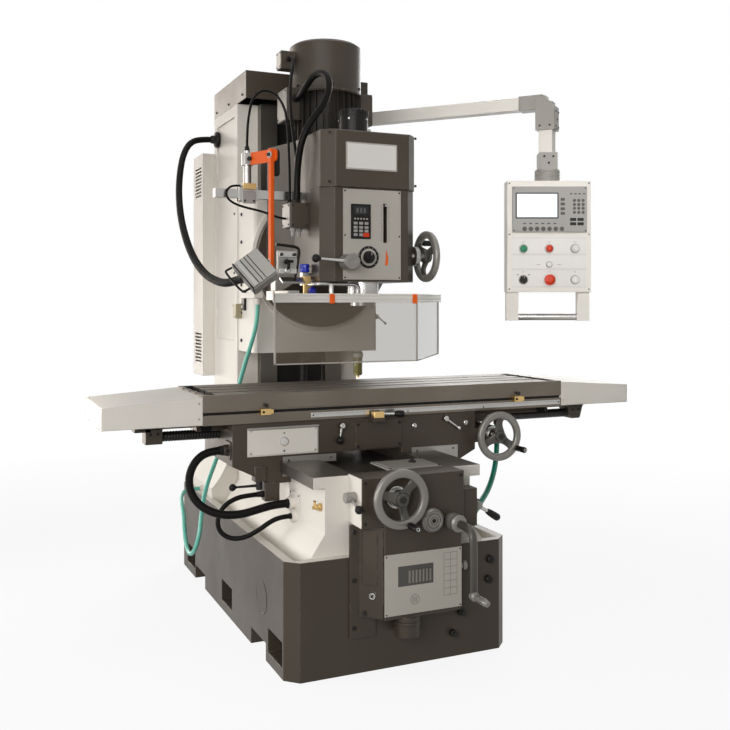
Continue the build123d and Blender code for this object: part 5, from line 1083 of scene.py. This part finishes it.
piece("lampHead", "machine_base", {
    "lampMetal": [*[slab(moved(lampMiddle, z=z), long - 3, wide - 3, 4.5, 6, 1.2) for z in lampBox["fins"]],
                  slab(moved(lampMiddle, z=-33), long - 8, wide - 8, 36, 5, 1.5),
                  slab(moved(lampMiddle, z=1), long, wide, 12, 7, 2)],
    "lampLens": [slab(moved(lampMiddle, z=13), long - 12, wide - 12, 3.4, 6, 1)],
    "brightSteel": [slab(moved(lampMiddle, 0, -30, -36), long - 8, 11, 4, 1.5, 0.8)],
    "blackPlastic": [slab(moved(lampMiddle, 0, -44, -36), long - 4, 4, 40, 1.5, 0.8),
                     tube(place(handleLine, lampMiddle), 3.4),
                     turned([(13, -6), (16, -4), (16, 12), (14.5, 14), (14.5, 18), (16, 20), (16, 34), (12, 36)],
                            socketAxes, 28)],
    "blackSteel": [slab(moved(lampMiddle, 0, y, -35), long - 10, 2.4, 3, 1, 0.5) for y in lampBox["ribs"]]},
    replaced=("lamp_head",))
neckScrews = [(25 * cos(a), 25 * sin(a)) for a in (0.6, 2.7, 4.8)]
piece("lampNeck", "machine_base", {
    "blackRubber": [ribbedTube(splinePoints(neckPoints * mm) / mm, **gooseneck)[0]],
    "blackPlastic": [turned([(34, 0), (34, 10), (31, 14), (18, 16), (17, 30), (14, 34)], rosette, 40)],
    "blackSteel": screwsAt(moved(rosette, z=15), neckScrews, 3.2)}, replaced=("lamp_arm",), sharp=80)

# Oil bottle of the slide
axes = upward(190, 118.5, 0)
piece("oilBottle", "head_slide", {
    "oilBowl": [turned([(12, 846), (16, 848), (18, 853), (18, 915), (17.2, 921)], axes, 36)],
    "lampMetal": [turned([(21, 919), (21, 936), (17, 940), (17, 947)], axes, 36),
                  *[strip(rib, 15, 2, 0.8) for rib in around(axes, range(0, 360, 12), 927, 20.6)]],
    "brass": [turned([(6, 838), (6, 846), (9, 847)], axes, 8)]}, replaced=("oil_bottle",))
print("guard and lamp made")

# Slide: swivel scale, side screws, lock lever, limit switch and its cam
swivel = front(0, 64.5, 1304)
longMarks = around(swivel, range(225, 316, 15), 0.0, 260.5)
shortMarks = around(swivel, [angle for angle in range(225, 316, 5) if angle % 15], 0.0, 262.5)
sideScrews = (990, 1100, 1210, 1380, 1490)
cam, limitSwitch = moved(castingLeft, -205, 1146), moved(castingLeft, -268, 1106)
lockBoss = moved(castingRight, 92, 1084)
lockRod = axesAt(moved(lockBoss, z=10)[3], (0.62, -0.42, -0.66), (0, 0, 1))
piece("slideDetails", "head_slide", {
    "blackSteel": [
        *[strip(mark, 0.5, 1.2, 10) for mark in longMarks], *[strip(mark, 0.5, 1.2, 6) for mark in shortMarks],
        *screwsAt(castingLeft, [(-250, z) for z in sideScrews], 7),
        *screwsAt(castingRight, [(250, z) for z in sideScrews], 7),
        slab(cam, 36, 74, 10, 3, 1.5),
        *screwsAt(moved(limitSwitch, z=26), [(-15, 21), (15, -21)], 2.6)],
    "brightSteel": [*screwsAt(moved(cam, z=10), [(0, -22), (0, 22)], 6),
                    shut([(11, 0), (11, 10), (9, 12)], lockBoss, 24),
                    turned([(4.5, 0), (3.4, 38), *ballProfile(6, 42, -40)], lockRod, 18)],
    "switchBeige": [slab(limitSwitch, 46, 58, 26, 4, 1.5)]})

# Column: screws of the cap and of the left panel
capSpots = [*[leftward(-260, y, z) for y, z in ((230, 1962), (430, 1962), (620, 1962), (340, 1500), (340, 1260))],
            *[rightward(260, y, 1962) for y in (230, 620)], *[front(x, 178.5, 1962) for x in (-220, 0, 220)]]
piece("columnDetails", "machine_base", {"blackSteel": [screw(spot, 5) for spot in capSpots]})

# Electric cabinet: raised door panel, bare plate and two locks
door = backward(0, 833.8, 1305)
locks = [moved(door, 270, y) for y in (-260, 260)]
piece("doorDetails", "cabinet_door", {
    "blackSteel": [shut([(15, 0), (15, 3), (12, 5)], lock) for lock in locks],
    "brightSteel": [strip(moved(lock, z=5), 4, 14, 3) for lock in locks],
    "panelPlate": [slab(moved(door, 0, 330), 150, 100, 1.2, 3, 0.5)],
    "whitePaint": [slab(door, 560, 900, 0.8, 12, 0.6)]})

# Table: graduated rule, lips of the dog groove, dogs with their bolts, end-cover screws
rule = {"left": -190, "right": 831, "z": 758.5, "height": 17, "thick": 1.6, "step": 5.03, "count": 200}
groove = {"middle": 138, "length": 1396, "z": 779, "lip": 3.6, "apart": 6.4}
dogs = (-354, 634)
ruleFace = moved(tableFront, 0, rule["z"], rule["thick"])
ruleMiddle = moved(tableFront, (rule["left"] + rule["right"]) / 2, rule["z"])
grooveBack = front(groove["middle"], -343.4, groove["z"])
parts = {
    "brightSteel": [slab(ruleMiddle, rule["right"] - rule["left"], rule["height"], rule["thick"], 1, 0.4)],
    "blackSteel": [
        *screwsAt(ruleFace, [(-182, 0), (178, -4), (490, -4), (824, 0)], 2.6),
        *[screw(front(x - 8, -372.3, groove["z"]), 4.2) for x in dogs],
        *[shut([(4, 0), (4, 8), (7, 9), (7, 14), (5, 16)], moved(tableFront, x + 4, 800), 6) for x in dogs]],
    "brass": [slab(moved(tableFront, x + 17, groove["z"]), 22, 16, 13, 2, 1) for x in dogs],
    # a near-black sheet at the back of the dog groove: painted shade inside the groove
    "blackPlastic": [strip(grooveBack, groove["length"], 15, 0.4)],
    "groundSteel": [strip(moved(grooveBack, 0, side * groove["apart"]), groove["length"], groove["lip"], 11.5)
                    for side in (-1, 1)],
    "whitePaint": screwsAt(tableFront, [(x, z) for x in (-575, 851) for z in (765, 815)], 3.4),
}
for k in range(rule["count"]):
    drop, tall = (2.0, 8) if k % 10 == 0 else (3.5, 5)
    parts["blackSteel"].append(strip(moved(ruleFace, rule["left"] + 8 + rule["step"] * k, drop), 0.7, tall, 0.15))
piece("tableDetails", "table", parts)

# Brackets of the long screw: a bar under each end cover, a stepped block at the left, a drawn-in one at the right
bracket = {
    "back": front(0, -133, 0), "depth": 64, "screws": [(-700, 700), (-676, 700), (1010, 702), (1038, 702)],
    "sides": [
        [(-738, 717), (-562, 717), (-562, 741), (-738, 741)],
        [(-776, 727), (-700, 727), (-700, 741), (-776, 741)],
        [(-752, 709), (-700, 709), (-700, 730), (-752, 730)],
        [(-716, 667), (-663, 667), (-660, 670), (-660, 720), (-716, 720)],
        [(838, 717), (1064, 717), (1064, 741), (838, 741)],
        [(986, 718), (1000, 673), (1005, 667), (1042, 667), (1047, 673), (1060, 718)]]}
piece("screwBrackets", "table", {
    "darkPaint": [prism(side, bracket["back"], bracket["depth"]) for side in bracket["sides"]],
    "blackSteel": screwsAt(moved(bracket["back"], z=bracket["depth"]), bracket["screws"], 5)},
    replaced=("screw_brackets",))

# Long screw, drawn between its brackets, and lifting screw, drawn over its whole length
threads = {"radius": 18, "pitch": 10, "depth": 2.2, "sides": 20, "longLeft": -714, "longRightGap": 20}


def thread(axes, length):
    # radius as a triangle wave of height over pitch less the turn, so the crest climbs as a helix
    pitch, sides = threads["pitch"], threads["sides"]
    height = np.linspace(0, length, int(length / pitch * 4))
    height, turn = np.meshgrid(height, np.arange(sides) / sides, indexing="ij")
    reach = threads["radius"] - threads["depth"] * np.abs(((height / pitch - turn) % 1.0) * 2 - 1)
    return ringStack(np.stack([reach * np.cos(turn * 2 * pi), reach * np.sin(turn * 2 * pi), height], -1), axes)


longBox, liftBox = (np.array(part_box(node)) / mm for node in ("x_screw", "z_screw"))
longMiddle, liftMiddle = longBox.mean(axis=0), liftBox.mean(axis=0)
longLength = longBox[1][0] - threads["longRightGap"] - threads["longLeft"]
piece("longScrew", "table", {
    "blackSteel": [thread(rightward(threads["longLeft"], *longMiddle[1:]), longLength)]},
    replaced=("x_screw",), sharp=25)
piece("liftScrew", "machine_base", {
    "blackSteel": [thread(upward(*liftMiddle[:2], liftBox[0][2]), liftBox[1][2] - liftBox[0][2])]},
    replaced=("z_screw",), sharp=25)

# Saddle: way wipers, cover plates with their screws, plugs and cable glands
wipers = ((-287, -94, (-287, -251)), (198, 386, (323, 386)))
leftPlate = front(-285, -348, 677)
plates = {
    "lampMetal": [slab(moved(leftPlate, 0, 44.5), 256, 7, 3.5, 2, 1)],
    "blackSteel": [*screwsAt(moved(leftPlate, z=1.2), [(2, 26), (2, -34)], 2.2),
                   *screwsAt(front(69, -348, 677), cornerSpots(160, 76), 5)],
    "whitePaint": [slab(leftPlate, 246, 90, 1.2, 2, 0.5)],
    "brightSteel": [*screwsAt(moved(leftPlate, z=1.2), cornerSpots(228, 74), 2.6),
                    *[turned([(9, 0), (9, 5), (6, 7), (6, 12), (axisGap, 13)], moved(saddleFront, x, 700), 18)
                      for x in (208, 420)]],
    "whitePlastic": [shut([(13, 1), (13, 6), (11, 8)], moved(leftPlate, 2, -2))],
    "darkPaint": [slab(leftward(-461, -300, 650), 60, 60, 4, 4, 1.2)],
    "blackPlastic": [turned([(20, 3), (20, 12), (17, 14), (17, 28), (15, 32)], leftward(-461, -300, 650), 6),
                     turned([(12, 0), (12, 10), (10, 12), (10, 22)], leftward(-350, -330, 500), 6)],
}
for left, right, (legLeft, legRight) in wipers:
    plates["lampMetal"] += [slab(moved(saddleFront, (x0 + x1) / 2, (z0 + z1) / 2), x1 - x0, z1 - z0, 4, 1, 0.5)
                            for x0, x1, z0, z1 in ((left, right, 596, 622), (legLeft, legRight, 556, 597))]
    plates["blackSteel"] += screwsAt(moved(saddleFront, z=4), [
        (left + 20, 610), (right - 20, 610), ((legLeft + legRight) / 2, 572)], 3.4)
piece("saddleDetails", "saddle", plates)
print("slide, table and saddle made")

# Feed box: ground cover plate, scale label with its window, mounting plate, slanted cheek, knob and pot
label, lidTop, pot = moved(feedFront, 33, 279), upward(62, -572, 606), downward(-10, -727.5, 174)
sideKnob = rightward(169, -716, 300)
cheek = {"front": (-102.6, -752.0), "back": (-157.0, -695.6), "low": 177, "high": 457}
cheekFront, cheekBack = np.array(cheek["front"]), np.array(cheek["back"])
cheekOut = np.array([cheekFront[1] - cheekBack[1], cheekBack[0] - cheekFront[0], 0.0])
cheekFace = axesAt((*(cheekFront + cheekBack) / 2, 0), cheekOut, np.cross((0, 0, 1), cheekOut))
sight = moved(cheekFace, 4, 246)
piece("feedBoxDetails", "machine_base", {
    "labelPlate": [slab(label, 268, 188, 1.6, 2, 0.6)],
    "inkGrey": [slab(moved(label, -28, 24, 1.6), 122, 62, 0.6, 1.5, 0.3),
                *[strip(moved(label, x, 14, 1.6), 0.8, 132, 0.3) for x in (70, 93, 117)],
                *[strip(moved(label, 93.5, y, 1.6), 47, 0.8, 0.3) for y in np.linspace(-52, 80, 7)],
                ring(moved(label, -31, -51, 1.6), 14, 15.2, 0, 0.3, 32),
                *[strip(moved(label, x, -51, 1.6), 1.6, 16, 0.3) for x in (-37, -31, -25)]],
    "castGrey": [slab(moved(label, -20, 20, 2.2), 96, 46, 0.2, 1, 0.1)],
    "wheelGrey": [*[strip(moved(label, x, 20, 2.4), 6, 38, 0.2) for x in range(-50, 23, 12)],
                  shut([(15, 0), (15, 6), (12, 8), (12, 20), (16, 22), (16, 34), (14, 36), (8, 36), (7, 33)],
                       sideKnob)],
    "greyPaint": [slab(lidTop, 190, 152, 5, 4, 1.2), slab(moved(lidTop, z=5), 168, 130, 1.2, 3, 0.5)],
    "darkPaint": [slab(moved(baseFront, -146, 286), 88, 350, 8, 3, 1.2),
                  prism([cheekFront, (cheekFront[0], cheekBack[1]), cheekBack], upward(0, 0, cheek["low"]),
                        cheek["high"] - cheek["low"]),
                  slab(moved(cheekFace, -6, 362), 50, 168, 3, 3, 1.5), band(pot, 40.2, 1.8, 14, 26, 2, 40)],
    "brightSteel": [shut([(12, 0), (12, 4), (10, 7), (7.5, 7), (7, 5)], sight)],
    "blackSteel": [*screwsAt(moved(label, z=1.6), cornerSpots(256, 176), 2.4),
                   *screwsAt(moved(lidTop, z=5), cornerSpots(176, 138), 4),
                   shut([(14, 0), (14, 5), (8, 6), (8, 10)], upward(92, -560, 612), 6),
                   *screwsAt(moved(baseFront, -176, 0, 8), [(0, 438), (0, 290), (0, 144)], 7),
                   shut([(4.5, 4), (4.5, 9), (3.5, 10)], sight, 6),
                   turned([(7, 0), (7, 8), (axisGap, 9)], moved(cheekFace, -22, 190), 6),
                   *screwsAt(feedFront, [(-165, 474), (-165, 598), (165, 598)], 5),
                   shut([(6, 32), (6, 40), (4, 41)], sideKnob, 8), shut([(12, 61.5), (12, 66)], pot, 6)]})

# Base: plugs, bolts and core covers; bed: gland plate with its glands and the brass oil fitting
coreCovers = [leftward(-388, -430, 190), rightward(388, -430, 190)]
glandPlate = moved(castingLeft, 384, 452)
piece("castingDetails", "machine_base", {
    "blackPlastic": [
        *[shut([(13, 0), (13, 10), (10, 13)], moved(baseFront, x, z), 20) for x, z in ((312, 299), (306, 234))],
        turned([(20, 2), (20, 12), (17, 14), (17, 26), (15.5, 30)], moved(castingLeft, 370, 470), 6),
        turned([(12.5, 2), (12.5, 11), (10.5, 13), (10.5, 26), (9, 29)], moved(castingLeft, 400, 434), 6)],
    "blackSteel": [*[shut([(12, 0), (12, 16), (9, 18), (9, 26)], moved(baseFront, x, z), 8)
                     for x, z in ((201, 142), (171, 78))],
                   *screwsAt(moved(glandPlate, z=2.5), cornerSpots(80, 102), 3)],
    "darkPaint": [shut([(56, 0), (56, 0.8), (54.5, 1.4), (53, 0.8), (51, 0.8)], cover, 56)
                  for cover in coreCovers],
    "whitePaint": [slab(glandPlate, 96, 118, 2.5, 4, 1)],
    "brass": [turned([(13, 0), (13, 8), (9, 10), (9, 18), (6, 20), (6, 28)], moved(castingLeft, 622, 508), 6),
              turned([(4, 0), (4, 18), (6, 19), (axisGap, 22)], upward(-277, -622, 508), 14)]})
print("base and feed box made")


# Studio: pale floor, a soft key from the left, weak fills and one light that only gives the left sides sheen
studio = {"surround": 0.16, "floorHalf": 14, "floorBounce": (0.30, 0.29, 0.28), "floorGlow": (0.87, 1.0),
          "glowReach": (1.7, 4.0)}
lamps = {
    "keyLight": {"place": (-2.8, -3.5, 1.75), "aim": (-0.1, -0.1, 0.9), "size": (2.4, 2.4), "power": 108},
    "sideSheen": {"place": (-1.6, 3.3, 1.6), "aim": (-0.35, 0.0, 1.0), "size": (3.4, 2.4), "power": 85,
                  "glossOnly": True, "color": (1.0, 0.89, 0.78)},
    "lowLeft": {"place": (-3.6, 0.7, 0.9), "aim": (-0.4, -0.1, 0.30), "size": (1.6, 1.6), "power": 10,
                "spread": 60},
    "topLight": {"place": (0.2, -0.6, 4.4), "aim": (0.0, -0.1, 0.9), "size": (2.6, 2.6), "power": 22},
    "pendantFill": {"place": (-0.7, -4.3, 2.2), "aim": (1.10, -0.2, 1.62), "size": (1.2, 1.2), "power": 3.6,
                    "spread": 30},
    "backFill": {"place": (3.2, 3.4, 2.6), "aim": (0.1, 0.2, 1.1), "size": (2.6, 2.6), "power": 90},
}
for lampName, lamp in lamps.items():
    light = bpy.data.lights.new(lampName, "AREA")
    light.shape = "RECTANGLE"
    light.size, light.size_y = lamp["size"]  # height and width
    light.energy = lamp["power"]
    light.color = lamp.get("color", (1, 1, 1))
    light.spread = radians(lamp.get("spread", 180))
    holder = linked(lampName, light)
    away = axesAt(lamp["place"], np.array(lamp["place"]) - lamp["aim"], (0, 0, 1))
    holder.matrix_world = Matrix(np.vstack([away.T, (0, 0, 0, 1)]))
    holder.visible_camera = False
    holder.visible_diffuse = not lamp.get("glossOnly", False)


def seenRays(tree):
    # 1 for what the camera sees, and what metal and glass show of it
    path = addNode(tree, "LightPath").outputs
    seen = mathNode(tree, "MAXIMUM", path["Is Camera Ray"], path["Is Glossy Ray"])
    return mathNode(tree, "MAXIMUM", seen, path["Is Transmission Ray"])


white = (1, 1, 1, 1)
world = bpy.data.worlds.new("surround")
bpy.context.scene.world = world
world.use_nodes = True
tree = world.node_tree
tree.nodes.clear()
dim, bright = (addNode(tree, "Background", {"Color": white, "Strength": strength}).outputs[0]
               for strength in (studio["surround"], 1.0))
both = mixShader(tree, seenRays(tree), dim, bright)
tree.links.new(both, addNode(tree, "OutputWorld").inputs["Surface"])

half = studio["floorHalf"]
corners = [(-half, -half, 0), (half, -half, 0), (half, half, 0), (-half, half, 0)]
floorMesh = bpy.data.meshes.new("floor")
floorMesh.from_pydata(corners, [], [(0, 1, 2, 3)])
floor = linked("floor", floorMesh)
floorMaterial = bpy.data.materials.new("floor")
floorMaterial.use_nodes = True
tree = floorMaterial.node_tree
tree.nodes.clear()
# white that takes the shadow near the machine and meets the white surround further out
coords = addNode(tree, "TexCoord").outputs["Object"]
distance = addNode(tree, "VectorMath", {0: coords}, operation="LENGTH").outputs["Value"]
share = spread(tree, distance, *studio["floorGlow"], *studio["glowReach"])
shaded = addNode(tree, "BsdfDiffuse", {"Color": white}).outputs[0]
glow = addNode(tree, "Emission", {"Color": white, "Strength": 1.0}).outputs[0]
bounce = addNode(tree, "BsdfDiffuse", {"Color": rgba(studio["floorBounce"])}).outputs[0]
both = mixShader(tree, seenRays(tree), bounce, mixShader(tree, share, shaded, glow))
tree.links.new(both, addNode(tree, "OutputMaterial").inputs["Surface"])
floorMesh.materials.append(floorMaterial)
bpy.context.scene.view_settings.view_transform = "Standard"
print("studio set")
